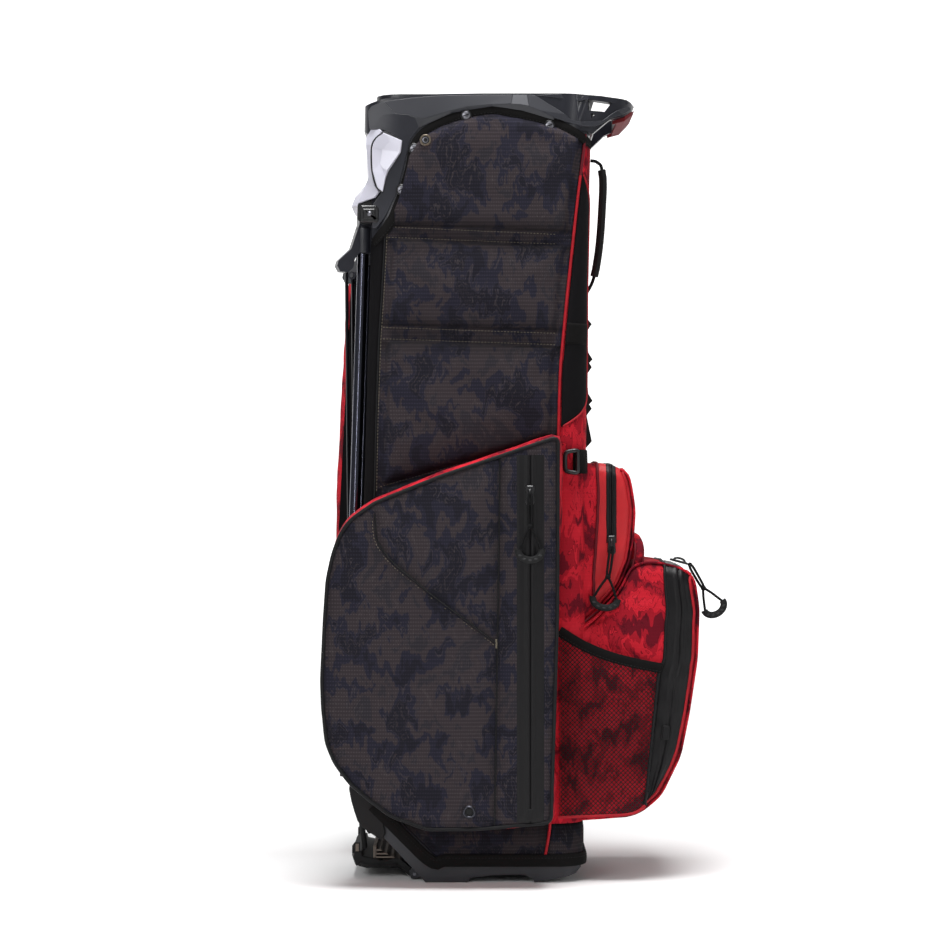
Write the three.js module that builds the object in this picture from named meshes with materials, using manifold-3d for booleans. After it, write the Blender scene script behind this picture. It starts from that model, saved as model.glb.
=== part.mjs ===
// Golf stand bag with two kick-out legs, as an assembly of separate solids.
// Millimetres. +Z is up, +X points from the bag to its ball pocket, -X to its legs, -Y is the left
// side as its carrier stands behind the spine. The origin is the middle of the face it rests on.
import * as THREE from 'three';
import { mergeVertices } from 'three/addons/utils/BufferGeometryUtils.js';
import Module from 'manifold-3d';

const wasm = await Module();
wasm.setup();

// ---------------------------------------------------------------- driving dimensions
const GAP = 0.3;                 // running gap between pieces that touch
const HEIGHT = 886.5;            // floor to rim
const HALF_WIDTH = 107;          // body half width in Y
const WALL = 4;                  // padded fabric wall of the body
const BASE_TOP = 28;             // upper edge of the moulded base
const SPINE_SEAM_X = 86;         // where the side panels meet the spine panel
const LEG_SEAM_X = -100;         // where the side panels meet the leg-side panel
const SPINE_RADIUS = 30;
const LEG_SIDE_RADIUS = 16;
const RIM_RADIUS = 30;
const COLLAR_HALF = 108.5;
const COLLAR_WALL = 8.8;
const FLANGE_HALF = 102.7;       // collar flange that the fabric is riveted to
const CELL_BAR = 7;              // width of the divider bars
const CELL_COLUMNS = 4;          // club cells along the bag, in two rows
const LEG_Y = 80;                // leg hinge, distance from the middle plane
const LEG_PIN = [-129.3, 754];   // leg hinge, X and Z
const SPLAY = THREE.MathUtils.degToRad(15);   // leg hinges are turned this far about Z
const PIN_RADIUS = 3.2;
const LEG_TUBE_RADIUS = 6.5;
const LEG_LENGTH = 637;          // leg hinge to the foot's end
const LEG_TUBE_TOP = 45.7;       // leg hinge to the top of the tube, just below the sleeve
const LEG_TUBE_INSET = 26;       // the tube ends this far inside its rubber foot
const LEG_FOOT_LENGTH = 54;
const LEG_FOOT_RADIUS = 9;
const LEG_LEAN = 0.0332;         // folded legs lean out from the hinge by this share of their length
const ROD_RADIUS = 2;
const ROD_PIN = [-17.5, 13, -58];             // rod pin on the leg's lobe, from the leg hinge
const FOOT_PIN = [-72, 6.5];     // hinge of the trigger foot, X and Z
const FOOT_PIN_RADIUS = 2;
const FOOT_HALF = 78;            // half width of the trigger foot in Y
const POCKET_BACK = 108.4;       // where side pockets start, in Y
const POCKET_FACE = 162;         // outer face of the left pocket, in Y
const APPAREL_FACE = 150;        // outer face of the right pocket, in Y
const VALUABLES_HALF = 80;
const BALL_HALF = 88;
const BALL_PULL_LEAN = 30;       // the ball pocket's pull lies out over its rounded top, degrees
const REAR_POCKET_BACK = 123.6;  // where the valuables and ball pockets start, in X
const REAR_CROWN = 12;           // how far the rear pockets' faces swell
const ZIP_BAND = [44, 72];       // side pocket zips, X of their two edges
const ZIP_CENTRE = 57;           // X of their sliders and pulls
const ZIP_DEPTH = 1.2;           // how far the zip bands stand off their pockets
const SLIDER_DEPTH = 4;
const DIVIDER_LOW = 20.5;        // lower edge of the cloth dividers
const DIVIDER_HIGH = 858;        // and their upper edge, under the foam bars
const TOP_BARS = [862, 881];     // foam rim and bars of the divider top, Z of their two faces

// ---------------------------------------------------------------- materials
const paint = (color, roughness, metalness = 0) =>
  new THREE.MeshStandardMaterial({ color, roughness, metalness });
const darkCamo = () => paint(0x463e3e, 0.85);
const redCamo = () => paint(0xcd2332, 0.8);
const plainFabric = () => paint(0x1c1b1d, 0.85);
const coatedBlack = () => paint(0x1e1e20, 0.5);
const collarPlastic = () => paint(0x3c3e44, 0.45);
const blackPlastic = () => paint(0x161618, 0.5);
const basePlastic = () => paint(0x2d2d37, 0.5);
const whitePlastic = () => paint(0xe8e6ee, 0.35);
const redRubber = () => paint(0x7a1c22, 0.7);
const blackRubber = () => paint(0x141415, 0.8);
const treadRubber = () => paint(0x8b8378, 0.8);
const foam = () => paint(0x2a2a2c, 0.95);
const steel = () => paint(0x8c8c90, 0.35, 1);
const darkAluminium = () => paint(0x14161f, 0.25, 0.9);
const fibreglass = () => paint(0x202022, 0.5);

// ---------------------------------------------------------------- shape helpers
const bag = new THREE.Group();

function add(name, shape, material) {
  const geometry = shape.isBufferGeometry ? shape : geometryOf(shape);
  const mesh = new THREE.Mesh(geometry, material);
  mesh.name = name;
  bag.add(mesh);
}

function solid(geometry) {
  const bare = geometry.clone();
  bare.deleteAttribute('normal');
  bare.deleteAttribute('uv');
  const merged = mergeVertices(bare, 1e-4);
  return new wasm.Manifold(new wasm.Mesh({
    numProp: 3,
    vertProperties: new Float32Array(merged.attributes.position.array),
    triVerts: new Uint32Array(merged.index.array),
  }));
}

function geometryOf(manifold) {
  const mesh = manifold.getMesh();
  const indexed = new THREE.BufferGeometry();
  indexed.setAttribute('position', new THREE.BufferAttribute(mesh.vertProperties, 3));
  indexed.setIndex(new THREE.BufferAttribute(mesh.triVerts, 1));
  const geometry = indexed.toNonIndexed();
  geometry.computeVertexNormals();
  return geometry;
}

// A point (u, v) of an outline at height w along the named axis.
const PLACE = {
  x: (u, v, w) => [w, u, v],
  y: (u, v, w) => [u, w, v],
  z: (u, v, w) => [u, v, w],
};

function signedVolume(positions, index) {
  let total = 0;
  const [a, b, c] = [new THREE.Vector3(), new THREE.Vector3(), new THREE.Vector3()];
  for (let i = 0; i < index.length; i += 3) {
    a.fromArray(positions, 3 * index[i]);
    b.fromArray(positions, 3 * index[i + 1]);
    c.fromArray(positions, 3 * index[i + 2]);
    total += a.dot(b.cross(c));
  }
  return total;
}

// Closed solid through outlines of equal point count, given as { points, at } along the axis.
function loft(axis, sections) {
  const count = sections[0].points.length;
  const positions = sections.flatMap(({ points, at }) => points.flatMap(([u, v]) => PLACE[axis](u, v, at)));
  const index = [];
  for (let s = 0; s + 1 < sections.length; s += 1) {
    for (let i = 0; i < count; i += 1) {
      const [a, b] = [s * count + i, s * count + (i + 1) % count];
      index.push(a, b, b + count, a, b + count, a + count);
    }
  }
  const area = (outline) => THREE.ShapeUtils.area(outline.map(([u, v]) => new THREE.Vector2(u, v)));
  const cap = ({ points }, first, facing) => {
    const flat = points.map(([u, v]) => new THREE.Vector2(u, v));
    for (const [a, b, c] of THREE.ShapeUtils.triangulateShape(flat, [])) {
      const ahead = area([points[a], points[b], points[c]]) * area(points) * facing > 0;
      index.push(first + a, first + (ahead ? b : c), first + (ahead ? c : b));
    }
  };
  cap(sections[0], 0, -1);
  cap(sections.at(-1), (sections.length - 1) * count, 1);
  if (signedVolume(positions, index) < 0) {
    index.reverse();
  }
  const geometry = new THREE.BufferGeometry();
  geometry.setAttribute('position', new THREE.Float32BufferAttribute(positions, 3));
  geometry.setIndex(index);
  return solid(geometry);
}

const prism = (axis, points, from, to) => loft(axis, [{ points, at: from }, { points, at: to }]);

function block([x0, x1], [y0, y1], [z0, z1]) {
  const geometry = new THREE.BoxGeometry(x1 - x0, y1 - y0, z1 - z0);
  geometry.translate((x0 + x1) / 2, (y0 + y1) / 2, (z0 + z1) / 2);
  return solid(geometry);
}

function arc([cx, cy], radius, fromDegrees, toDegrees, steps) {
  return Array.from({ length: steps + 1 }, (_, i) => {
    const turn = THREE.MathUtils.degToRad(fromDegrees + (toDegrees - fromDegrees) * i / steps);
    return [cx + radius * Math.cos(turn), cy + radius * Math.sin(turn)];
  });
}

function roundedRectangle([x0, x1], [y0, y1], radius, steps = 4) {
  return [
    ...arc([x1 - radius, y0 + radius], radius, -90, 0, steps),
    ...arc([x1 - radius, y1 - radius], radius, 0, 90, steps),
    ...arc([x0 + radius, y1 - radius], radius, 90, 180, steps),
    ...arc([x0 + radius, y0 + radius], radius, 180, 270, steps),
  ];
}

function rod(from, to, radius, sides = 10) {
  const [a, b] = [new THREE.Vector3(...from), new THREE.Vector3(...to)];
  const along = b.clone().sub(a);
  const geometry = new THREE.CylinderGeometry(radius, radius, along.length(), sides);
  const turn = new THREE.Quaternion().setFromUnitVectors(new THREE.Vector3(0, 1, 0), along.normalize());
  geometry.applyQuaternion(turn);
  geometry.translate(...a.add(b).multiplyScalar(0.5).toArray());
  return solid(geometry);
}

// Round bar along a smooth path; a bore makes it a sleeve.
function bar(path, radius, steps, sides = 8, bore = 0) {
  const section = new THREE.Shape();
  arc([0, 0], radius, 0, 360 - 360 / sides, sides - 1).forEach(([x, y], i) =>
    (i ? section.lineTo(x, y) : section.moveTo(x, y)));
  if (bore) {
    section.holes.push(new THREE.Path(
      arc([0, 0], bore, 0, 360 - 360 / sides, sides - 1).map(([x, y]) => new THREE.Vector2(x, y)),
    ));
  }
  const extrudePath = new THREE.CatmullRomCurve3(path.map((point) => new THREE.Vector3(...point)));
  return solid(new THREE.ExtrudeGeometry(section, { steps, extrudePath, bevelEnabled: false }));
}

// Outline moved outward by a distance, with mitred corners.
function offset(points, distance) {
  const flat = points.map(([u, v]) => new THREE.Vector2(u, v));
  const side = THREE.ShapeUtils.isClockWise(flat) ? -1 : 1;
  return flat.map((point, i) => {
    const before = point.clone().sub(flat.at(i - 1)).normalize();
    const after = flat[(i + 1) % flat.length].clone().sub(point).normalize();
    const normal = new THREE.Vector2(before.y + after.y, -before.x - after.x).normalize();
    const stretch = Math.max(0.4, normal.x * after.y - normal.y * after.x);
    return [point.x + side * normal.x * distance / stretch, point.y + side * normal.y * distance / stretch];
  });
}

// Soft box: an outline in XZ, full size between two depths in Y and drawn in at its outer faces.
function pillow(points, [back, face], { inset = 6, crown = 14, bothSides = false } = {}) {
  const inner = offset(points, -inset);
  const turn = Math.sign(face - back) * crown;
  const start = bothSides
    ? [{ points: inner, at: back }, { points, at: back + turn }]
    : [{ points, at: back }];
  return loft('y', [...start, { points, at: face - turn }, { points: inner, at: face }]);
}

const mirrored = (manifold) => manifold.mirror([0, 1, 0]);
const bothSides = (points) => [...points, ...points.map(([x, y]) => [x, -y]).reverse()];
const joined = (...pieces) => pieces.reduce((whole, piece) => whole.add(piece));

// ---------------------------------------------------------------- body outline
// Lower edge of the collar on the left and right faces, from the leg side to the spine.
const COLLAR_EDGE = [
  [-118, 723], [-100, 750], [-89, 778], [-82, 803], [-76, 830], [-63, 847],
  [-41, 859], [-13, 869], [17, 873], [51, 867], [88, 858], [123, 840],
];
const CHAMFER = [[-59, 0], [-127, 73], [-146, 108]];   // slanted toe of the base, from the floor up
const bodyTrim = prism('y', [
  [-47, BASE_TOP + 0.5], [140, BASE_TOP + 0.5], [140, 839.5],
  ...COLLAR_EDGE.map(([x, z]) => [x, z - 0.5]).reverse(),
  [-150, 722.5], [-150, 131.5],
], -120, 120);

// Face of the spine and of the leg side at a height.
function spineFace(z) {
  return z < 670 ? 118 + 4 * z / 670 : 122 + 5 * (z - 670) / (HEIGHT - 670);
}
function legFace(z) {
  return -136 + 16.5 * (z - 110) / 610;
}

// Wall section that turns two corners, from the left seam round to the right seam.
function cornerWall(seam, face, radius) {
  const side = Math.sign(face);
  const start = side > 0 ? [-90, 0, 90] : [-90, -180, -270];
  const wrap = (r, half) => [
    [seam, -half],
    ...arc([face - side * radius, -HALF_WIDTH + radius], r, start[0], start[1], 4),
    ...arc([face - side * radius, HALF_WIDTH - radius], r, start[1], start[2], 4),
    [seam, half],
  ];
  return [...wrap(radius, HALF_WIDTH), ...wrap(radius - WALL, HALF_WIDTH - WALL).reverse()];
}

function addBodyPanels() {
  const spine = loft('z', [BASE_TOP, 670, HEIGHT].map((z) => (
    { points: cornerWall(SPINE_SEAM_X, spineFace(z), SPINE_RADIUS), at: z })));
  const legSide = loft('z', [BASE_TOP, 730].map((z) => (
    { points: cornerWall(LEG_SEAM_X, legFace(z), LEG_SIDE_RADIUS), at: z })));
  const length = [LEG_SEAM_X + GAP, SPINE_SEAM_X - GAP];
  const side = block(length, [-HALF_WIDTH, WALL - HALF_WIDTH], [BASE_TOP, HEIGHT]).intersect(bodyTrim);
  add('spine_panel', spine.intersect(bodyTrim), plainFabric());
  add('leg_side_panel', legSide.intersect(bodyTrim), plainFabric());
  add('left_panel', side, darkCamo());
  add('right_panel', mirrored(side), darkCamo());
}

// ---------------------------------------------------------------- base
// The trigger foot's pin, or its bore when grown by a clearance.
function footPin(half, clearance = 0) {
  const [x, z] = FOOT_PIN;
  return rod([x, -half, z], [x, half, z], FOOT_PIN_RADIUS + clearance);
}

function addBase() {
  const silhouette = [
    CHAMFER[0], [62, 0], [80, 2.5], [98, 6], [110, 9.5], [116, 15],
    [118.5, BASE_TOP], [-47.2, BASE_TOP], [-140, 120], [-146, 114], CHAMFER[2], CHAMFER[1],
  ];
  const hollow = [
    [-46.5, 12], [106, 12], [114.5, 19], [115, 60], [-60, 160], [-132.5, 160], [-131, 91], [-123.5, 76.5],
  ];
  const plan = prism('z', roundedRectangle([-147, 118.6], [-105, 105], 28), -1, 130);
  const cavity = prism('z', roundedRectangle([-143, 114.6], [-101, 101], 24), -1, 130)
    .intersect(prism('y', hollow, -110, 110));
  const legRecess = block([-160, -136.5], [-97, 97], [60, 140]);
  const arch = prism('y', [[-13, -1], [-8, 5], [15, 8], [50, 9.3], [61, 4], [64, -1]], -110, -62);
  const lug = prism('y', [[-60, 3], [-76, 1.6], [-78, 10], [-66, 21]], -87, -79);
  const cup = plan.intersect(prism('y', silhouette, -110, 110))
    .subtract(cavity).subtract(legRecess).subtract(arch).subtract(mirrored(arch));
  add('base_cup', joined(cup, lug, mirrored(lug)).subtract(footPin(90, GAP)), basePlastic());
  add('floor_pad', prism('z', roundedRectangle([-44, 105], [-97, 97], 22), 12.4, 20), foam());
}

// ---------------------------------------------------------------- collar and dividers
const HANDLE_TOP = [[112, HEIGHT], [170, HEIGHT - 0.1], [180, 882.5]];
const HANDLE_UNDERSIDE = [[177, 875.5], [165.5, 866.5], [149.8, 861.5], [129, 843], [112, 847.5]];
const HANDLE_PLAN = [[60, -103.8], [112, -103.8], [140, -88], [163, -67], [175, -49], [180.5, -26]];
const HAND_GAP = [[131, -79], [147, -67], [158, -54]];

function addCollar() {
  const plan = prism('z', roundedRectangle([-129, 127], [-COLLAR_HALF, COLLAR_HALF], RIM_RADIUS), 690, 890);
  const silhouette = prism('y', [
    ...COLLAR_EDGE, [127.1, 842], [127.1, HEIGHT], [5, HEIGHT], [-42, 885.8], [-75, 884.2], [-106, 880.5],
    [-128, 875], [-129, 847], [-120, 838], [-120, 723],
  ], -120, 120);
  const flange = prism('z', roundedRectangle([-115.2, 121], [-FLANGE_HALF, FLANGE_HALF], 28), 800, HEIGHT);
  const inner = COLLAR_HALF - COLLAR_WALL;
  const mouth = prism('z', roundedRectangle([-112.2, 118], [-inner, inner], 25), 690, 900);
  const handlePlan = prism('z', bothSides(HANDLE_PLAN), 830, 890);
  const handGap = prism('z', bothSides(HAND_GAP), 820, 900);
  const handle = handlePlan
    .intersect(prism('y', [...HANDLE_TOP, ...HANDLE_UNDERSIDE], -110, 110))
    .subtract(handGap)
    .subtract(prism('y', [[124, 869], [143, 869], [151, 880], [124, 881]], -110, 110))
    .subtract(prism('y', [[127.5, 866], [133, 866], [127.5, 860.5]], -110, 110));
  const shell = joined(plan.intersect(silhouette), flange, handle).subtract(mouth);
  add('top_collar', shell, collarPlastic());

  const grip = [
    [150.4, 857.4], [167, 861.8], [178, 872], [180.3, 878.6],
    ...offset(HANDLE_UNDERSIDE, 0.35).slice(0, 3),
  ];
  const gripPlan = handlePlan.subtract(handGap);
  add('collar_grip', gripPlan.intersect(prism('y', grip, -60, 60)), redRubber());
}

function addDividers() {
  const [x0, x1, half] = [-111.8, 117.6, 99.3];
  const rim = 5;
  const hole = prism('z', roundedRectangle([x0 + rim, x1 - rim], [rim - half, half - rim], 14), 850, 890);
  const rimBlock = prism('z', roundedRectangle([x0, x1], [-half, half], 24.6), ...TOP_BARS);
  add('divider_rim', rimBlock.subtract(hole), blackPlastic());
  const reach = rim + GAP;
  const cell = (x1 - x0 - 2 * rim - (CELL_COLUMNS - 1) * CELL_BAR) / CELL_COLUMNS;
  let bars = block([x0 + reach, x1 - reach], [-CELL_BAR / 2, CELL_BAR / 2], TOP_BARS);
  for (let column = 1; column < CELL_COLUMNS; column += 1) {
    const left = x0 + rim + column * cell + (column - 1) * CELL_BAR;
    bars = bars.add(block([left, left + CELL_BAR], [reach - half, half - reach], TOP_BARS));
  }
  add('divider_bars', bars, blackPlastic());
  const sheet = [
    [-44, DIVIDER_LOW], [106, DIVIDER_LOW], [113, DIVIDER_HIGH], [-107, DIVIDER_HIGH],
    [-110, 715], [-126, 112], [-118, 78],
  ];
  add('long_divider', prism('y', sheet, -1.2, 1.2), plainFabric());
  for (const [name, y] of [['cross_divider_left', [-98, -1.6]], ['cross_divider_right', [1.6, 98]]]) {
    add(name, block([1.8, 4.2], y, [DIVIDER_LOW, DIVIDER_HIGH]), plainFabric());
  }
}

function addStays() {
  for (const [side, y] of [['left', -90], ['right', 90]]) {
    add(`spine_stay_${side}`, rod([101, y, DIVIDER_LOW], [103.5, y, 836], 3.5, 8), fibreglass());
    add(`leg_side_stay_${side}`, rod([-100, y, 62], [-100, y, 798], 3.5, 8), fibreglass());
  }
}

// ---------------------------------------------------------------- legs
// Moves a shape from the frame of a leg hinge, whose X points to the spine, to the bag.
function atLegHinge(manifold, side) {
  const turned = side < 0 ? manifold : mirrored(manifold);
  return turned.rotate([0, 0, -side * THREE.MathUtils.radToDeg(SPLAY)])
    .translate([LEG_PIN[0], side * LEG_Y, LEG_PIN[1]]);
}

// A point of the hinge frame in the bag's frame.
function legPoint([x, y, z], side) {
  const [c, s] = [Math.cos(SPLAY), Math.sin(SPLAY)];
  return [LEG_PIN[0] + x * c - y * s, side * (LEG_Y - x * s - y * c), LEG_PIN[1] + z];
}

function addLegHub() {
  const profile = [
    [-120.3, 741], [-131, 741], [-136, 746], [-136, 762], [-131, 772], [-120.3, 772],
  ];
  const slot = block([-30, 8], [-9, 9], [-30, 9]);
  const bore = rod([0, -26, 0], [0, 26, 0], PIN_RADIUS + GAP, 12);
  let hub = prism('y', profile, -97, 97);
  for (const side of [-1, 1]) {
    hub = hub.subtract(atLegHinge(slot, side)).subtract(atLegHinge(bore, side));
  }
  add('leg_hub', hub, blackPlastic());

  const nose = [
    [-120.3, 855], [-126.5, 841], [-127.5, 831], [-126.5, 793], [-134, 784], [-141, 776],
    [-145, 765], [-137.5, 765], [-136.8, 773], [-120.3, 773],
  ];
  const clearOfCollar = prism('y', [
    [-129.4, 890], [-129.4, 846.5], [-119.7, 836.5], [-100, 836.5], [-100, 890],
  ], -90, 90);
  const drawnIn = (keep) => nose.map(([x, z]) => [-120.3 + keep * (x + 120.3), z]);
  const shield = loft('y', [[-74, 0.4], [-50, 1], [50, 1], [74, 0.4]].map(([at, keep]) => (
    { points: drawnIn(keep), at })));
  const clearOfHub = prism('y', offset(profile, 0.5), -98, 98);
  add('front_cover', shield.subtract(clearOfCollar).subtract(clearOfHub), whitePlastic());
  const leaf = [
    [-107, 846], [-85, 837], [-86, 826], [-89, 819], [-103, 802], [-106, 780], [-109, 778],
    [-116, 786], [-119, 802], [-118, 828], [-115, 837],
  ];
  const cheek = prism('y', leaf, -COLLAR_HALF - 3.3, -COLLAR_HALF - GAP);
  add('left_cover', cheek, whitePlastic());
  add('right_cover', mirrored(cheek), whitePlastic());
}

// Point on a leg's centre line, this far below its hinge.
const alongLeg = (distance) => [0.6 - LEG_LEAN * distance, 0, -distance];

function addLegs() {
  const sleeveProfile = [
    ...arc([0, 0], 6.8, 0, 180, 6), [-6.8, -12], [-16, -40], [-31, -54], [-32.5, -60], [-29, -66.5],
    [-20, -67], [-14, -62], [-12, -52], [-7.2, 0.4 - LEG_TUBE_TOP], [6.8, 0.4 - LEG_TUBE_TOP],
  ];
  const sleeve = joined(
    prism('y', sleeveProfile, -7, 7),
    rod([ROD_PIN[0], 6, ROD_PIN[2]], [ROD_PIN[0], ROD_PIN[1] + 4, ROD_PIN[2]], 2.4),
  ).subtract(rod([0, -10, 0], [0, 10, 0], PIN_RADIUS + GAP, 12));
  const tubeTo = (grow) => rod(
    alongLeg(LEG_TUBE_TOP), alongLeg(LEG_LENGTH - LEG_TUBE_INSET + grow), LEG_TUBE_RADIUS + grow, 16);
  const foot = joined(
    rod(alongLeg(LEG_LENGTH - LEG_FOOT_LENGTH), alongLeg(LEG_LENGTH - 10), LEG_FOOT_RADIUS, 14),
    rod(alongLeg(LEG_LENGTH - 16), alongLeg(LEG_LENGTH), LEG_FOOT_RADIUS - 1.6, 14),
  ).subtract(tubeTo(GAP));
  const pin = rod([0, -17, 0], [0, 17, 0], PIN_RADIUS, 12);
  for (const [name, side] of [['left', -1], ['right', 1]]) {
    add(`leg_pin_${name}`, atLegHinge(pin, side), steel());
    add(`leg_sleeve_${name}`, atLegHinge(sleeve, side), blackPlastic());
    add(`leg_tube_${name}`, atLegHinge(tubeTo(0), side), darkAluminium());
    add(`leg_foot_${name}`, atLegHinge(foot, side), blackRubber());
    add(`push_rod_${name}`, pushRod(side), steel());
  }
}

// Push rod from the lobe pin down to the top of the trigger foot.
function pushRod(side) {
  const top = legPoint(ROD_PIN, side);
  const inward = -side * Math.cos(SPLAY);
  const eye = (reach, radius) => rod(
    [top[0] - reach * Math.sin(SPLAY), top[1] + reach * inward, top[2]],
    [top[0] + reach * Math.sin(SPLAY), top[1] - reach * inward, top[2]], radius, 10);
  const path = [
    [top[0], top[1], top[2] - 4], [-146.8, side * 71, 400], [-145, side * 69, 160],
    [-141.5, side * 68, 112], [-139, side * 67, 88], [-132.5, side * 67, 62], [-129, side * 67, 31.2],
  ];
  return joined(bar(path, ROD_RADIUS, 24, 8), eye(2.2, 5)).subtract(eye(8, 2.4 + GAP));
}

// Rocker plate under the toe of the base; its free end lifts the push rods.
function addTriggerFoot() {
  const profile = [
    [-146, 5], [-140, 3], [-92, 3], [-76, 2.2], [-68.4, 3.6], [-67.6, 7.5], [-71, 10.8], [-90, 15],
    [-120, 26], [-127, 29], [-143, 29], [-148, 22], [-148.5, 12],
  ];
  const plate = prism('y', profile, -FOOT_HALF, FOOT_HALF)
    .subtract(footPin(90, GAP));
  const tread = [[-95, 17.2], [-119, 26], [-120, 32], [-97, 22.4]];
  add('trigger_foot', plate, blackRubber());
  add('trigger_foot_tread', prism('y', tread, 2 - FOOT_HALF, FOOT_HALF - 2), treadRubber());
  add('trigger_foot_pin', footPin(87), steel());
}

// ---------------------------------------------------------------- pockets
const SIDE_POCKET = [
  [80, 75], [57, 73], [1, 68], [-56, 67.5], [-96, 82], [-120, 100], [-141, 118], [-158, 141],
  [-167, 163], [-171, 203], [-172, 232], [-169, 298], [-166, 342], [-160, 370], [-152, 392],
  [-141, 408], [-114, 427], [-42, 456], [88, 500], [87, 300],
];
const APPAREL_POCKET = [
  [80, 75], [57, 73], [1, 68], [-56, 67.5], [-96, 82], [-120, 100], [-141, 118], [-158, 141],
  [-167, 163], [-171, 232], [-168, 391], [-161, 531], [-153, 683], [-146, 712], [-128, 733],
  [-60, 742], [60, 735], [86, 715], [87, 300],
];
const VALUABLES_POCKET = [
  [REAR_POCKET_BACK, 469], [148, 470], [170, 461], [174, 445], [178, 418], [176, 387], [172, 361],
  [159, 331], [144, 313], [REAR_POCKET_BACK, 298],
];
const BALL_POCKET = [
  [REAR_POCKET_BACK, 67.5], [REAR_POCKET_BACK, 296.5], [145, 311.5], [160.5, 330], [174, 357],
  [187, 359], [205, 359], [232, 352], [245, 341], [250, 307], [248, 250], [239, 190], [229, 140],
  [207, 95], [186, 77.5], [171, 71.5],
];

// Pull with a bail end at the top, a narrow neck and a wide grip, hanging down a face.
function pullTab([x, y, z], length, axis) {
  const outline = [
    [-2.5, 1.2], [2.5, 1.2], [2.2, -0.45 * length], [7, -0.6 * length], [8.5, -0.85 * length],
    [3, -length], [-3, -length], [-8.5, -0.85 * length], [-7, -0.6 * length], [-2.2, -0.45 * length],
  ];
  return prism(axis, outline, -1.4, 1.4).translate([x, y, z]);
}

function addSidePocket(name, outline, face, side, zip) {
  const body = pillow(outline, [POCKET_BACK, face]);
  const place = (manifold) => (side > 0 ? manifold : mirrored(manifold));
  const [low, high] = zip;
  const band = block(ZIP_BAND, [face + GAP, face + GAP + ZIP_DEPTH], [low, high]);
  const seat = face + GAP + ZIP_DEPTH + GAP;
  const slider = block([ZIP_CENTRE - 5, ZIP_CENTRE + 5], [seat, seat + SLIDER_DEPTH], [high - 50, high - 29]);
  add(`${name}_pocket`, place(body), side > 0 ? redCamo() : darkCamo());
  add(`${name}_zip`, place(band), coatedBlack());
  add(`${name}_slider`, place(slider), blackPlastic());
  add(`${name}_pull`, place(pullTab([ZIP_CENTRE, face + 8, high - 38], 74, 'y')), blackRubber());
}

// A rear pocket, swollen on both sides.
const stuffed = (outline, half) => pillow(
  outline, [-half, half], { inset: 6, crown: REAR_CROWN, bothSides: true });

// Zip band laid over a rear pocket: its left side, its top and its right side.
function zipBand(outline, half, window) {
  const skin = (grow) => stuffed(offset(outline, grow), half + grow);
  return skin(ZIP_DEPTH + GAP).subtract(skin(GAP)).intersect(prism('y', window, -120, 120));
}

function addRearPockets() {
  add('valuables_pocket', stuffed(VALUABLES_POCKET, VALUABLES_HALF), redCamo());
  add('ball_pocket', stuffed(BALL_POCKET, BALL_HALF), redCamo());

  const valuablesWindow = [[145, 381], [157, 381], [157, 480], [145, 480]];
  add('valuables_zip', zipBand(VALUABLES_POCKET, VALUABLES_HALF, valuablesWindow), coatedBlack());
  add('valuables_slider', block([147, 157], [-87.4, -82.2], [372, 386]), blackPlastic());
  add('valuables_pull', pullTab([151, -90.4, 376], 70, 'y'), blackRubber());

  const ballWindow = [
    [189, 88], [204, 97], [220, 125], [229, 154], [238, 190], [243, 250], [242, 307], [240, 370],
    [208, 370], [210, 307], [208, 250], [204, 235], [196, 154],
  ];
  add('ball_zip', zipBand(BALL_POCKET, BALL_HALF, ballWindow), coatedBlack());
  const slope = [[220, 358.4], [237, 353.6], [238, 358], [221, 362.8]];
  add('ball_slider', prism('y', slope, -68, -54), blackPlastic());
  const ballPull = pullTab([0, 0, 0], 66, 'y').rotate([0, -BALL_PULL_LEAN, 0])
    .translate([241.4, -61, 356.2]);
  add('ball_pull', ballPull, blackRubber());
}

// Open mesh pouch on the left side of the ball pocket.
function addMeshPocket() {
  const outside = prism('z', [
    [90.5, -109.8], [130, -105.5], [207.5, -101], [207.5, -90.4], [121, -90.4], [117.5, -94],
    [110, -101.4], [100, -106.8], [90.5, -108.6],
  ], 60, 300);
  const inside = prism('z', [
    [108, -105.6], [130, -103.4], [184, -100], [184, -80], [110, -80],
  ], 77, 310);
  const outline = prism('y', [
    [90.5, 71], [172, 74], [184, 84], [192, 154], [200, 232], [205, 244], [169, 251], [142, 259],
    [115, 271], [90.5, 286],
  ], -120, -80);
  const pouch = outside.intersect(outline).subtract(inside);
  add('mesh_pocket', pouch, redCamo());
}

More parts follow.
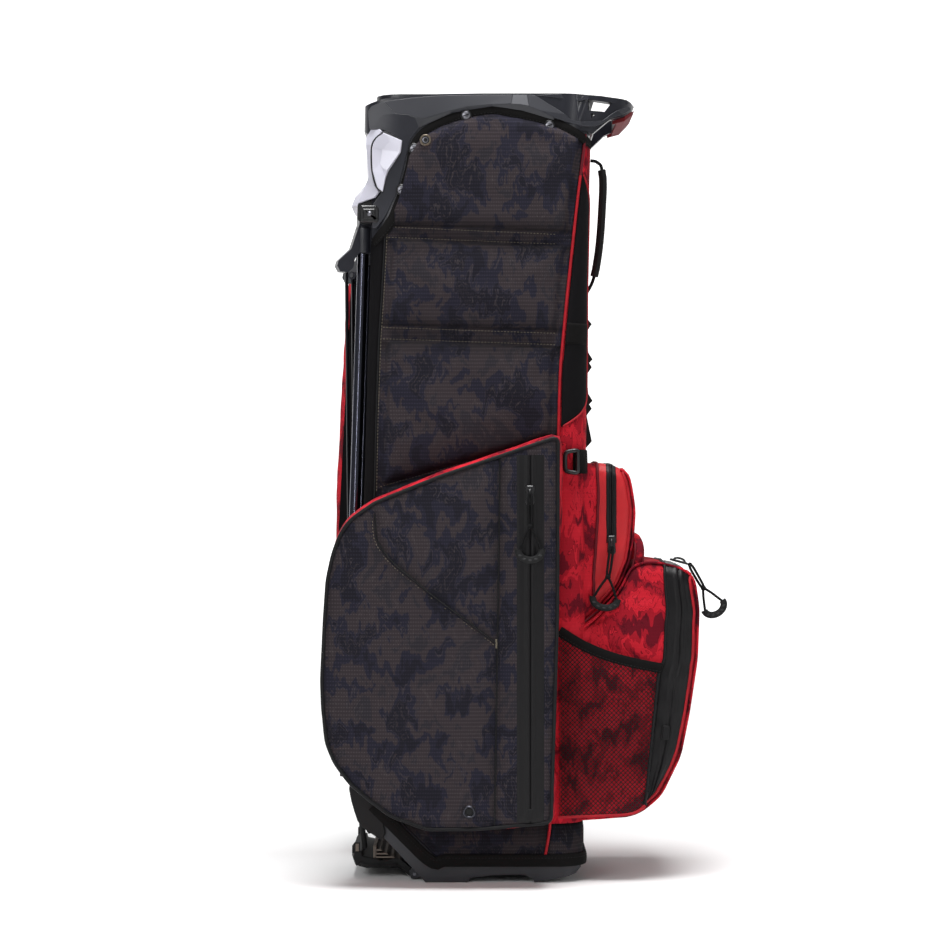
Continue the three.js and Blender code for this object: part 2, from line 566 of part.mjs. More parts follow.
// ---------------------------------------------------------------- fittings
function addFittings() {
  const teeth = [
    [123, 490], [123, 640], [126, 640], [132, 633], [126, 624], [128, 600], [133, 592], [129, 588],
    [132, 583], [126, 574], [128, 552], [133, 544], [129, 540], [132, 535], [126, 527], [132, 497],
    [126, 490],
  ];
  add('strap_guide', prism('y', teeth, -14, 14), blackRubber());

  const cord = [
    [131, 0, 824], [139, 0, 822], [144.5, 0, 811], [144, 0, 760], [140, 0, 715], [134, 0, 685],
    [124.6, 0, 667],
  ];
  const cordLine = new THREE.CatmullRomCurve3(cord.map((point) => new THREE.Vector3(...point)));
  const sleeveCentre = cordLine.getPoints(26).slice(8, 22).map((point) => point.toArray());
  add('grab_cord', bar(cord, 1.9, 26, 8), plainFabric());
  add('grab_sleeve', bar(sleeveCentre, 4.8, 13, 8, 2.7), blackRubber());

  const ring = [[115, 457], [98, 459], [95, 464], [95, 482], [98, 487], [115, 489]];
  const hole = [[111, 461], [100, 462.5], [99, 466], [99, 480], [100, 483.5], [111, 485]];
  const buckle = prism('y', ring, -112, -108.6).subtract(prism('y', hole, -120, -100));
  add('strap_ring', buckle, blackPlastic());
  const tab = [
    [109.8, -102.4], [119.4, -90.6], [122, -93], [118.7, -105.4], [116.4, -107.4], [111.3, -107.4],
  ];
  add('strap_ring_tab', prism('z', tab, 465, 481), plainFabric());

  const eyelet = rod([-10, -POCKET_FACE - GAP, 87], [-10, -POCKET_FACE - 1.5, 87], 7, 20)
    .subtract(rod([-10, -POCKET_FACE + 5, 87], [-10, -POCKET_FACE - 9, 87], 4, 16));
  add('drain_eyelet', eyelet, blackPlastic());
}

addBase();
addBodyPanels();
addCollar();
addDividers();
addStays();
addLegHub();
addLegs();
addTriggerFoot();
addSidePocket('side', SIDE_POCKET, POCKET_FACE, -1, [86, 475]);
addSidePocket('apparel', APPAREL_POCKET, APPAREL_FACE, 1, [110, 700]);
addRearPockets();
addMeshPocket();
addFittings();

export default bag;
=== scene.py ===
"""Looks of the golf stand bag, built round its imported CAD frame.

Lengths are in millimetres; piece() turns them into metres. Y is negative on the bag's left, the side that the
camera sees, and X grows from the legs towards the spine.
"""
import math

import bmesh
import bpy
import numpy as np
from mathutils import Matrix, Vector, geometry, noise
from mathutils.bvhtree import BVHTree


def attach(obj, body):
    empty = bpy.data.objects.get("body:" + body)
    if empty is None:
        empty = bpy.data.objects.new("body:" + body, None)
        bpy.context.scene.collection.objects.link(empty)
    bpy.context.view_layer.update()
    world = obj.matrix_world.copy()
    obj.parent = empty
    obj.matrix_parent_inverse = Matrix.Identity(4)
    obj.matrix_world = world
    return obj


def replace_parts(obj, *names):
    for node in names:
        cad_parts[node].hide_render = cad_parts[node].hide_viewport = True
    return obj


MM = 0.001
HALF_WIDTH = 107          # body half width in Y
COLLAR_HALF = 108.5
SPINE_RADIUS = 30
LEG_SIDE_RADIUS = 16
LEG_Y = 80                # leg hinges, distance from the middle plane
LEG_PIN = (-129.3, 754)   # leg hinges, X and Z
SPLAY = math.radians(15)  # leg hinges are turned this far about Z
CLOTH_PITCH = 4.2         # spacing of the points of a pocket's cloth
SIDE_FACE = 162           # outer face of the left pocket, in Y
APPAREL_FACE = 150        # outer face of the right pocket
VALUABLES_HALF = 80
BALL_HALF = 88
WELD = 1e-5               # metres
SIDES = ((-1, "left"), (1, "right"))

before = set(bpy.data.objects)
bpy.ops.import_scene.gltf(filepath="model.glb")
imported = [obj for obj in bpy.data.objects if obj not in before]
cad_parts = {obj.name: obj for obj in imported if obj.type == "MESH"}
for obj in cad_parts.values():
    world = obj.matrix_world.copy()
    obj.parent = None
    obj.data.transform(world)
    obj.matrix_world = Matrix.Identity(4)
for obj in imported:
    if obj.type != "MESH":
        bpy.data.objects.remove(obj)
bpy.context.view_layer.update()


# ---------------------------------------------------------------- meshes
def piece(name, points, faces, material, body="bag", crease=35, open_sheet=False):
    """A mesh of these millimetre points that rides on a CAD body."""
    mesh = bpy.data.meshes.new(name)
    mesh.from_pydata([Vector(p) * MM for p in points], [], faces)
    shape = bmesh.new()
    shape.from_mesh(mesh)
    bmesh.ops.remove_doubles(shape, verts=shape.verts, dist=WELD)
    if not open_sheet:
        bmesh.ops.recalc_face_normals(shape, faces=shape.faces)
    shape.to_mesh(mesh)
    shape.free()
    mesh.materials.append(material)
    mesh.shade_smooth()
    mesh.set_sharp_from_angle(angle=math.radians(crease))
    shown = bpy.data.objects.new(name, mesh)
    bpy.context.scene.collection.objects.link(shown)
    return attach(shown, body)


def thickened(shown, thickness):
    """Gives a sheet a thickness, inwards from its face."""
    solid = shown.modifiers.new("Thickness", "SOLIDIFY")
    solid.thickness = thickness * MM
    solid.offset = -1
    return shown


def bevelled(shown, width, segments=2, angle=25):
    edge = shown.modifiers.new("Edge", "BEVEL")
    edge.width = width * MM
    edge.segments = segments
    edge.limit_method = "ANGLE"
    edge.angle_limit = math.radians(angle)
    edge.harden_normals = True
    return shown


def mix(a, b, share):
    return a + (b - a) * share


def along_table(table, at):
    """Value at a place in a table of (place, value) pairs, in between taken on straight lines."""
    places, values = zip(*table)
    return float(np.interp(at, places, values))


def smooth_path(points, step=4.0, closed=False):
    """Points about a step apart on a smooth curve through the given ones."""
    anchors = [Vector(p) for p in points]
    count = len(anchors)
    path = []
    for i in range(count if closed else count - 1):
        around = [(i + k) % count if closed else min(max(i + k, 0), count - 1) for k in (-1, 0, 1, 2)]
        before, here, there, after = (anchors[k] for k in around)
        parts = max(1, round((there - here).length / step))
        for part in range(parts):
            t = part / parts
            path.append(0.5 * (
                2 * here + (there - before) * t
                + (2 * before - 5 * here + 4 * there - after) * t * t
                + (3 * here - before - 3 * there + after) * t ** 3))
    if not closed:
        path.append(anchors[-1])
    return path


def even_path(points, step, closed=False):
    """Evenly spaced points, flat or in space, along straight runs between the given ones."""
    line = [Vector(p) for p in points] + ([Vector(points[0])] if closed else [])
    lengths = np.cumsum([0] + [(b - a).length for a, b in zip(line, line[1:])])
    count = max(2, round(lengths[-1] / step) + 1)
    places = np.linspace(0, lengths[-1], count)[:-1 if closed else None]
    flat = np.array([tuple(p) for p in line])
    return [Vector([np.interp(s, lengths, flat[:, k]) for k in range(flat.shape[1])]) for s in places]


def tangents(path, closed=False):
    count = len(path)
    found = []
    for i in range(count):
        before = path[i - 1] if closed or i else path[0]
        after = path[(i + 1) % count] if closed or i < count - 1 else path[-1]
        found.append((after - before).normalized())
    return found


def round_section(radius, sides):
    turns = [k * math.tau / sides for k in range(sides)]
    return [(radius * math.cos(turn), radius * math.sin(turn)) for turn in turns]


def band_section(width, thickness, crown=0.0, sink=0.6):
    """Flat tape lying on a surface, with rounded edges."""
    half, edge = width / 2, min(thickness, width / 4)
    return [(-half, -sink), (-half, thickness * 0.5), (-half + edge, thickness), (0, thickness + crown),
            (half - edge, thickness), (half, thickness * 0.5), (half, -sink)]


def ring_faces(rows, size, first=0, closed=False):
    """Quads between rings of points that follow each other, each ring with this many points."""
    faces = []
    for i in range(rows if closed else rows - 1):
        near, far = first + i * size, first + (i + 1) % rows * size
        for k in range(size):
            after = (k + 1) % size
            faces.append((near + k, near + after, far + after, far + k))
    return faces


def capped_faces(rows, size):
    """Quads between rings, and a face over the first ring and the last."""
    return ring_faces(rows, size) + [tuple(range(size)), tuple(range((rows - 1) * size, rows * size))]


def grid_faces(rows, columns):
    """Quads of a sheet of points, row by row."""
    width = columns + 1
    return [(a, a + 1, a + width + 1, a + width)
            for i in range(rows) for a in range(i * width, i * width + columns)]


def swept(name, path, ups, section, material, body="bag", closed=False, crease=40):
    """A section of (across, up) points carried along a path. ups is a direction per point, or one for all."""
    if isinstance(ups, Vector):
        ups = [ups] * len(path)
    points = []
    for place, ahead, up in zip(path, tangents(path, closed), ups):
        across = ahead.cross(up).normalized()
        above = across.cross(ahead).normalized()
        points += [place + across * a + above * u for a, u in section]
    count, size = len(path), len(section)
    faces = ring_faces(count, size, closed=True) if closed else capped_faces(count, size)
    return piece(name, points, faces, material, body, crease)


def tube(name, points, radius, material, body="bag", closed=False, step=3.0, sides=8):
    """Round cord or piping on a smooth line through the points."""
    path = smooth_path(points, step, closed)
    ahead = tangents(path, closed)
    up = ahead[0].orthogonal().normalized()
    ups = []
    for direction in ahead:
        up = (up - direction * up.dot(direction)).normalized()
        ups.append(up)
    return swept(name, path, ups, round_section(radius, sides), material, body, closed, crease=80)


def stitched(name, path, ups, material, body="bag", length=2.4, gap=1.3, radius=0.45, closed=False):
    """A row of thread stitches that lie along a path on a surface."""
    line = even_path(path, length + gap, closed)
    points, faces = [], []
    total = len(line) - 1
    for i in range(total):
        start = line[i]
        ahead = (line[i + 1] - start).normalized()
        up = ups[min(len(ups) - 1, round(i / total * (len(ups) - 1)))]
        across = ahead.cross(up).normalized()
        first = len(points)
        points.append(start - up * 0.3)
        for share in (0.2, 0.8):
            centre = start + ahead * length * share
            points += [centre + way * radius for way in (across, up, -across, -up)]
        points.append(start + ahead * length - up * 0.3)
        for k in range(4):
            after = (k + 1) % 4
            faces.append((first, first + 1 + after, first + 1 + k))
            faces.append((first + 1 + k, first + 1 + after, first + 5 + after, first + 5 + k))
            faces.append((first + 9, first + 5 + k, first + 5 + after))
    return piece(name, points, faces, material, body, crease=80)


# ---------------------------------------------------------------- flat outlines
def edge_distance(points, line, closed=True):
    """Distance from each flat point to a line of flat points."""
    places = np.asarray(points, float)[:, None, :]
    starts = np.asarray(line, float)
    ends = np.roll(starts, -1, axis=0)
    if not closed:
        starts, ends = starts[:-1], ends[:-1]
    runs = ends - starts
    share = ((places - starts) * runs).sum(2) / np.maximum((runs * runs).sum(1), 1e-9)
    nearest = starts + np.clip(share, 0, 1)[..., None] * runs
    return np.sqrt(((places - nearest) ** 2).sum(2)).min(1)


def inside(points, outline):
    places = np.asarray(points, float)
    starts = np.asarray(outline, float)
    ends = np.roll(starts, -1, axis=0)
    x, y = places[:, :1], places[:, 1:]
    crosses = (starts[:, 1] > y) != (ends[:, 1] > y)
    height = np.where(ends[:, 1] == starts[:, 1], 1e-9, ends[:, 1] - starts[:, 1])
    crossed_at = (ends[:, 0] - starts[:, 0]) * (y - starts[:, 1]) / height + starts[:, 0]
    return (crosses & (x < crossed_at)).sum(1) % 2 == 1


def filled(outline, pitch):
    """Flat points and triangles that cover an outline, points about a pitch apart."""
    rim = [tuple(p) for p in even_path(outline, pitch, closed=True)]
    low, high = np.min(rim, axis=0), np.max(rim, axis=0)
    grid = [(x + (pitch / 2 if row % 2 else 0), z)
            for row, z in enumerate(np.arange(low[1], high[1], pitch * 0.87))
            for x in np.arange(low[0], high[0], pitch)]
    kept = np.array(grid)[inside(grid, rim) & (edge_distance(grid, rim) > pitch * 0.6)]
    flat = [Vector(p) for p in rim] + [Vector(p) for p in kept]
    border = [(i, (i + 1) % len(rim)) for i in range(len(rim))]
    points, _, faces, *_ = geometry.delaunay_2d_cdt(flat, border, [], 1, 1e-4)
    return [tuple(p) for p in points], [tuple(f) for f in faces]


def rise(distance, reach):
    """0 at an edge, then rounding over to 1 within reach of it."""
    return np.sin(np.clip(np.asarray(distance) / reach, 0, 1) * math.pi / 2)


def ripple(x, z, size, seed=0.0):
    """Soft noise from -1 to 1, with lumps of about that size."""
    return noise.noise(Vector((x / size, z / size, seed)))


# ---------------------------------------------------------------- lying on surfaces
def surface(shown):
    bpy.context.view_layer.update()
    return BVHTree.FromObject(shown, bpy.context.evaluated_depsgraph_get())


def calmed(ups):
    """Directions along a line, each averaged with its neighbours."""
    last = len(ups) - 1
    around = [[ups[min(max(i + k, 0), last)] for k in (-2, -1, 0, 1, 2)] for i in range(len(ups))]
    return [sum(near, Vector()).normalized() for near in around]


def laid(points, tree, inwards, lift):
    """Points moved along a direction on to a surface, and the surface's directions there, facing out."""
    direction = Vector(inwards).normalized()
    places, ups = [], []
    for point in points:
        start = Vector(point) * MM - direction * 0.15
        place, up, _, _ = tree.ray_cast(start, direction)
        if place is None:
            place, up, _, _ = tree.find_nearest(Vector(point) * MM)
        if up.dot(direction) > 0:
            up = -up
        places.append(place / MM + up * lift)
        ups.append(up)
    return places, calmed(ups)


# ---------------------------------------------------------------- finishes
def rgb(red, green, blue):
    """Screen colour from 0 to 255 as a scene colour."""
    def linear(value):
        share = value / 255
        return share / 12.92 if share <= 0.04045 else ((share + 0.055) / 1.055) ** 2.4
    return (linear(red), linear(green), linear(blue), 1)


class Finish:
    """A node material built up step by step."""

    def __init__(self, name, color, roughness, metallic=0.0, **sockets):
        self.material = bpy.data.materials.new(name)
        self.material.use_nodes = True
        self.tree = self.material.node_tree
        self.shader = self.tree.nodes["Principled BSDF"]
        self.set("Base Color", color)
        self.set("Roughness", roughness)
        self.set("Metallic", metallic)
        for socket, value in sockets.items():
            self.set(socket.replace("_", " "), value)
        self.place = self.node("TexCoord").outputs["Object"]

    def set(self, socket, value):
        self.link(value, self.shader.inputs[socket])

    def link(self, value, target):
        if isinstance(value, bpy.types.NodeSocket):
            self.tree.links.new(value, target)
        else:
            target.default_value = value

    def node(self, kind, inputs=(), **settings):
        made = self.tree.nodes.new("ShaderNode" + kind)
        for key, value in settings.items():
            setattr(made, key, value)
        for key, value in dict(inputs).items():
            self.link(value, made.inputs[key])
        return made

    def math(self, operation, first, second=0.0, third=0.0):
        return self.node("Math", {0: first, 1: second, 2: third}, operation=operation).outputs[0]

    def moved(self, scale=(1, 1, 1), shift=(0, 0, 0), start=None):
        inputs = {"Vector": start or self.place, "Scale": scale, "Location": shift}
        return self.node("Mapping", inputs).outputs[0]

    def noise(self, scale, detail=2.0, roughness=0.5, start=None):
        inputs = {"Vector": start or self.place, "Scale": scale, "Detail": detail, "Roughness": roughness}
        return self.node("TexNoise", inputs).outputs["Fac"]

    def axes(self):
        return self.node("SeparateXYZ", {"Vector": self.place}).outputs

    def wave(self, value, pitch):
        """Waves from 0 to 1 with this pitch in millimetres."""
        turned = self.math("SINE", self.math("MULTIPLY", value, math.tau / (pitch * MM)))
        return self.math("MULTIPLY_ADD", turned, 0.5, 0.5)

    def ramp(self, value, *stops, smooth=False):
        made = self.node("ValToRGB", {"Fac": value})
        made.color_ramp.interpolation = "LINEAR" if smooth else "CONSTANT"
        while len(made.color_ramp.elements) < len(stops):
            made.color_ramp.elements.new(0.5)
        for element, (place, color) in zip(made.color_ramp.elements, stops):
            element.position = place
            element.color = color
        return made.outputs["Color"]

    def blended(self, share, first, second, kind="MIX"):
        made = self.node("Mix", data_type="RGBA", blend_type=kind)
        self.link(share, made.inputs[0])
        self.link(first, made.inputs[6])
        self.link(second, made.inputs[7])
        return made.outputs[2]

    def bump(self, height, strength, distance):
        """Adds relief of this depth in millimetres over what is there."""
        inputs = {"Height": height, "Strength": strength, "Distance": distance * MM}
        if self.shader.inputs["Normal"].is_linked:
            inputs["Normal"] = self.shader.inputs["Normal"].links[0].from_socket
        self.set("Normal", self.node("Bump", inputs).outputs["Normal"])

    def mottled(self, color, amount, size):
        """A colour with soft light and dark patches of this size."""
        dark = tuple(c * (1 - amount) for c in color[:3]) + (1,)
        light = tuple(min(1, c * (1 + amount)) for c in color[:3]) + (1,)
        self.set("Base Color", self.ramp(self.noise(1000 / size, 3), (0.3, dark), (0.7, light), smooth=True))


def weave_into(finish, across_pitch, row_pitch, depth):
    """Woven relief, across in X and Y alike and up in Z."""
    axes = finish.axes()
    across = finish.wave(finish.math("ADD", axes[0], axes[1]), across_pitch)
    rows = finish.wave(axes[2], row_pitch)
    finish.bump(finish.math("MULTIPLY", across, rows), 0.5, depth)


ROW_PITCH = 4.1           # rows of woven dots on the printed cloth
DOT_PITCH = 2.7
SHADE = "shade"           # painted shade: how much darker the cloth is painted in its creases, seams and edges and under the pockets, as a value on the mesh


def camouflage(name, tones, contour, row_shade, size):
    """Printed cloth: jagged patches in four tones, nested contour lines and rows of woven dots, darkened by
    painted shade where the mesh holds shade values.
    """
    finish = Finish(name, tones[0], 0.9, Specular_IOR_Level=0.12)
    axes = finish.axes()
    spike = finish.noise(1000 / 11, 2.4, 0.6, start=finish.moved((1, 1, 0.3)))
    sway = finish.noise(1000 / 45, 1.0, start=finish.moved((0.5, 0.5, 1), (3, 1, 2)))
    lifted = finish.math("MULTIPLY_ADD", spike, size * 2.0 * MM, axes[2])
    swayed = finish.math("MULTIPLY_ADD", sway, size * 2.0 * MM, axes[0])
    warped = finish.node("CombineXYZ", {0: swayed, 1: axes[1], 2: lifted}).outputs[0]
    patches = finish.noise(1000 / size, 2.2, 0.5, start=warped)
    color = finish.ramp(patches, (0.0, tones[2]), (0.42, tones[1]), (0.505, tones[0]), (0.62, tones[3]))
    levels = finish.math("FRACT", finish.math("MULTIPLY", patches, 15))
    line = finish.math("LESS_THAN", finish.math("ABSOLUTE", finish.math("SUBTRACT", levels, 0.5)), 0.09)
    region = finish.noise(1000 / (size * 1.8), 1, start=finish.moved((1, 1, 1), (5, 3, 1)))
    drawn = finish.math("MULTIPLY", line, finish.math("GREATER_THAN", region, 0.48))
    color = finish.blended(finish.math("MULTIPLY", drawn, 0.55), color, contour)
    rows = finish.math("POWER", finish.wave(axes[2], ROW_PITCH), 4)
    dots = finish.wave(finish.math("ADD", axes[0], axes[1]), DOT_PITCH)
    cloth = finish.math("MULTIPLY_ADD", finish.math("MULTIPLY", rows, dots), row_shade, 1 - row_shade * 0.25)
    # painted shade: the mesh's shade values darken the cloth's colour
    painted_shade = finish.node("Attribute", attribute_name=SHADE).outputs["Fac"]
    cloth = finish.math("MULTIPLY", cloth, finish.math("SUBTRACT", 1.0, painted_shade))
    grey = finish.node("CombineColor", {0: cloth, 1: cloth, 2: cloth}).outputs[0]
    finish.set("Base Color", finish.blended(1.0, color, grey, "MULTIPLY"))
    weave_into(finish, 1.6, 1.9, 0.12)
    finish.bump(finish.noise(1000 / 14, 2.5), 0.45, 1.0)
    return finish.material


def dark_camo_cloth():
    tones = (rgb(53, 47, 50), rgb(36, 35, 46), rgb(30, 29, 37), rgb(45, 42, 47))
    return camouflage("dark_camo", tones, rgb(64, 58, 60), 0.9, 32)


def red_camo_cloth():
    tones = (rgb(184, 30, 44), rgb(150, 22, 36), rgb(96, 14, 28), rgb(190, 34, 48))
    return camouflage("red_camo", tones, rgb(62, 9, 19), 0.14, 30)


def plain_cloth():
    finish = Finish("plain_fabric", rgb(13, 12, 14), 0.9, Specular_IOR_Level=0.12)
    weave_into(finish, 1.2, 1.2, 0.16)
    return finish.material


def coated_cloth(name, color, roughness=0.4):
    """Smooth film-coated cloth with long soft creases."""
    finish = Finish(name, color, roughness, Specular_IOR_Level=0.22)
    finish.mottled(color, 0.1, 30)
    finish.bump(finish.noise(1000 / 9, 2, start=finish.moved((1, 1, 0.12))), 0.5, 0.5)
    finish.bump(finish.noise(1000 / 1.2, 2), 0.12, 0.08)
    return finish.material


def ribbed_tape(name, color):
    finish = Finish(name, color, 0.85, Specular_IOR_Level=0.12)
    axes = finish.axes()
    level = finish.math("ADD", axes[0], axes[1])
    slant = finish.math("MULTIPLY", axes[2], 0.6)
    finish.bump(finish.wave(finish.math("ADD", level, slant), 1.4), 0.6, 0.25)
    return finish.material


def moulded(name, color, roughness, grain=0.06, size=1.1, **sockets):
    """Moulded plastic with a fine textured grain."""
    finish = Finish(name, color, roughness, **sockets)
    finish.mottled(color, 0.08, 60)
    finish.bump(finish.noise(1000 / size, 4), 0.4, grain)
    return finish.material


def rubber(name, color):
    return moulded(name, color, 0.7, 0.1, 2.0, Specular_IOR_Level=0.25)


def metal(name, color, roughness, scratch=0.02):
    finish = Finish(name, color, roughness, 1.0)
    finish.bump(finish.noise(1000 / 1.5, 3, start=finish.moved((1, 1, 0.2))), 0.3, scratch)
    return finish.material


def anodised_tube():
    finish = Finish("leg_tube", rgb(96, 98, 112), 0.14, 1.0)
    finish.bump(finish.noise(1000 / 2, 2, start=finish.moved((1, 1, 0.05))), 0.15, 0.02)
    return finish.material


def piping_cord(name, color):
    finish = Finish(name, color, 0.6, Specular_IOR_Level=0.2)
    finish.mottled(color, 0.16, 7)
    finish.bump(finish.noise(1000 / 1.6, 2), 0.4, 0.15)
    return finish.material


def backdrop():
    """White sweep. It glows a little more towards the back, so that it stays evenly white."""
    finish = Finish("backdrop", (0.86, 0.86, 0.86, 1), 0.95, Specular_IOR_Level=0.0)
    depth = finish.node("MapRange", {0: finish.axes()[1], 1: 0.4, 2: 4.0, 3: 0.0, 4: 0.85}).outputs[0]
    finish.set("Emission Color", (1, 1, 1, 1))
    finish.set("Emission Strength", depth)
    finish.bump(finish.noise(2, 1), 0.02, 1)
    return finish.material


CAMO = dark_camo_cloth()
RED_CAMO = red_camo_cloth()
PLAIN = plain_cloth()
BLACK_COATED = coated_cloth("black_coated", rgb(12, 11, 13), 0.48)
RED_COATED = coated_cloth("red_coated", rgb(176, 34, 40), 0.5)
TAPE = ribbed_tape("binding_tape", rgb(15, 14, 14))
COLLAR = moulded("collar_plastic", rgb(38, 39, 45), 0.42, 0.07)
COLLAR_DARK = moulded("collar_dark", rgb(31, 32, 39), 0.34, 0.05)
# a lighter copy of the collar plastic for one facet: a painted highlight
COLLAR_HIGHLIGHT = moulded("collar_highlight", rgb(62, 63, 68), 0.45, 0.06)
BLACK = moulded("black_plastic", rgb(16, 16, 18), 0.34, 0.04)
BASE = moulded("base_plastic", rgb(25, 25, 32), 0.5, 0.1)
WHITE = moulded("white_plastic", rgb(196, 195, 207), 0.34, 0.02)
RED_RUBBER = rubber("red_rubber", rgb(100, 14, 22))
RUBBER = rubber("black_rubber", rgb(20, 20, 21))
TREAD = rubber("tread", rgb(108, 98, 90))
STEEL = metal("steel", rgb(118, 118, 124), 0.38)
DARK_STEEL = metal("dark_steel", rgb(40, 40, 44), 0.3)
GUNMETAL = metal("gunmetal", rgb(66, 66, 72), 0.42)
BRASS = metal("brass", rgb(150, 138, 122), 0.3)
TUBE = anodised_tube()
RED_PIPING = piping_cord("red_piping", rgb(156, 21, 32))
BLACK_PIPING = piping_cord("black_piping", rgb(17, 17, 19))
DARK_RED_PIPING = piping_cord("dark_red_piping", rgb(92, 15, 26))
THREAD = piping_cord("thread", rgb(92, 86, 74))
DARK_THREAD = piping_cord("dark_thread", rgb(38, 36, 38))
CORD = ribbed_tape("cord", rgb(20, 20, 21))
FOAM = moulded("foam", rgb(44, 44, 46), 0.9, 0.3, 2.5)


# ---------------------------------------------------------------- more shapes
def turned(name, place, axis, profile, material, body="bag", sides=20, crease=30):
    """A lathe shape: (radius, height) pairs about an axis that starts at a place."""
    up = Vector(axis).normalized()
    side = up.orthogonal().normalized()
    front = up.cross(side)
    spokes = [side * across + front * along for across, along in round_section(1, sides)]
    points = []
    for radius, height in profile:
        centre = Vector(place) + up * height
        points += [centre + spoke * max(radius, 0.01) for spoke in spokes]
    return piece(name, points, capped_faces(len(profile), sides), material, body, crease)


def grown(outline, distance):
    """The outline moved outwards by a distance at every corner."""
    points = [Vector(p) for p in outline]
    area = sum(a.x * b.y - b.x * a.y for a, b in zip(points, points[1:] + points[:1]))
    side = 1 if area > 0 else -1
    moved = []
    for before, here, after in zip(points[-1:] + points[:-1], points, points[1:] + points[:1]):
        first, second = (here - before).normalized(), (after - here).normalized()
        out = Vector((first.y + second.y, -first.x - second.x)) * side
        sharp = max(0.35, 1 + first.dot(second))
        moved.append(tuple(here + out * distance / sharp))
    return moved


def plate(name, outline, layers, place, material, body="bag", crease=20):
    """Stacked copies of an outline: layers are (growth, height), and place(x, z, height) puts a point."""
    points = [place(x, z, height) for growth, height in layers for x, z in grown(outline, growth)]
    return piece(name, points, capped_faces(len(layers), len(outline)), material, body, crease)


def side_place(side, level):
    """Places points on the left (-1) or right (+1) side, with heights measured outwards from a level."""
    return lambda x, z, height: (x, side * (level + height), z)


def carry(name, material, bevel):
    """Shows a CAD node with a finish and softened edges."""
    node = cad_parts[name]
    node.data.materials.clear()
    node.data.materials.append(material)
    custom = node.data.attributes.get("custom_normal")
    if custom:
        node.data.attributes.remove(custom)
    node.modifiers.new("Weld", "WELD").merge_threshold = WELD
    node.data.shade_smooth()
    node.data.set_sharp_from_angle(angle=math.radians(30))
    bevelled(node, bevel)


# ---------------------------------------------------------------- body shell
def spine_x(z):
    return along_table([(0, 118), (670, 122), (886.5, 127)], z)


def leg_x(z):
    """X of the leg side, which leans in by 16.5 over the 610 above the toe."""
    return -136 + 16.5 * (z - 110) / 610


def corner(z, sign):
    """Where the flat side ends, and the radius of the corner there."""
    if sign > 0:
        return spine_x(z) - SPINE_RADIUS, SPINE_RADIUS
    return -leg_x(z) - LEG_SIDE_RADIUS, LEG_SIDE_RADIUS


def wall(s, z, out=0.0, side=-1):
    """Point on the body. s runs along the skin from X 0 to the spine (+) or the legs (-), round corners."""
    sign = 1 if s >= 0 else -1
    straight, radius = corner(z, sign)
    turn = (abs(s) - straight) / radius
    if turn <= 0:
        return Vector((s, side * (HALF_WIDTH + out), z))
    if turn <= math.pi / 2:
        reach = radius + out
        depth = HALF_WIDTH - radius + reach * math.cos(turn)
        return Vector((sign * (straight + reach * math.sin(turn)), side * depth, z))
    depth = HALF_WIDTH - radius - (turn - math.pi / 2) * radius
    return Vector((sign * (straight + radius + out), side * depth, z))


def skin(x, z):
    """How far along the skin an X is, on the side or on its corners."""
    sign = 1 if x >= 0 else -1
    straight, radius = corner(z, sign)
    over = min(1.0, (abs(x) - straight) / radius)
    return x if over <= 0 else sign * (straight + radius * math.asin(over))


def middle(z, sign):
    """How far along the skin the bag's middle plane is."""
    straight, radius = corner(z, sign)
    return sign * (straight + radius * math.pi / 2 + HALF_WIDTH - radius)


# The cloth's upper edge along the collar, as (X, Z). The seams are (Z, X).
COLLAR_EDGE = [(-120, 723), (-110, 735), (-100, 750), (-89, 778), (-82, 803), (-76, 830), (-63, 847),
               (-41, 859), (-13, 869), (17, 873), (51, 867), (88, 858), (123, 840), (129, 836)]
SIDE_SEAM = [(28, -118), (430, -116), (521, -114), (610, -111), (657, -108), (735, -104), (850, -104)]
SPINE_SEAM = [(28, 75), (70, 82), (300, 86), (500, 90), (575, 92), (655, 99), (760, 110), (840, 119.5)]
QUILT_LINES = [((-113, 444), (88, 501)), ((-110, 611), (94, 604)), ((-110, 624), (96, 617)),
               ((-104, 725), (96, 717)), ((-104, 737), (96, 728))]
QUILT_BANDS = [(0, 0), (1, 2), (3, 4)]          # lower and upper row of stitches of each quilted band
QUILT_ROWS = (130, 42, 8, 32, 8, 40)            # rows of the panel's mesh below, between and above the lines


def side_seam(z):
    return skin(along_table(SIDE_SEAM, z), z)


def spine_seam(z):
    return skin(along_table(SPINE_SEAM, z), z)


CLOTH_FOOT = 28.8
TOE_X = -47


def base_line(x):
    """Lower edge of the cloth, which follows the slanted toe of the base."""
    return CLOTH_FOOT if x > TOE_X else CLOTH_FOOT + TOE_X - x


def collar_line(x):
    return along_table(COLLAR_EDGE, x)


def quilt_height(line, x):
    (x0, z0), (x1, z1) = line
    return mix(z0, z1, (x - x0) / (x1 - x0))


def crossing(gap, low, high):
    """Where a rising gap crosses zero between two heights."""
    for _ in range(30):
        halfway = (low + high) / 2
        low, high = (halfway, high) if gap(halfway) < 0 else (low, halfway)
    return high


def row_heights(lean, bottom, top, folds, counts):
    """Heights of one column of a sheet. Its rows run along the folds, with a set count between each two."""
    knots = [bottom]
    for k, line in enumerate(folds):
        z = line[0][1]
        for _ in range(3):
            z = quilt_height(line, lean(z))
        knots.append(min(max(z, knots[-1] + 2), top - 2 * (len(folds) - k)))
    heights = [bottom]
    for low, high, count in zip(knots, knots[1:] + [top], counts):
        heights += [mix(low, high, (i + 1) / count) for i in range(count)]
    return heights


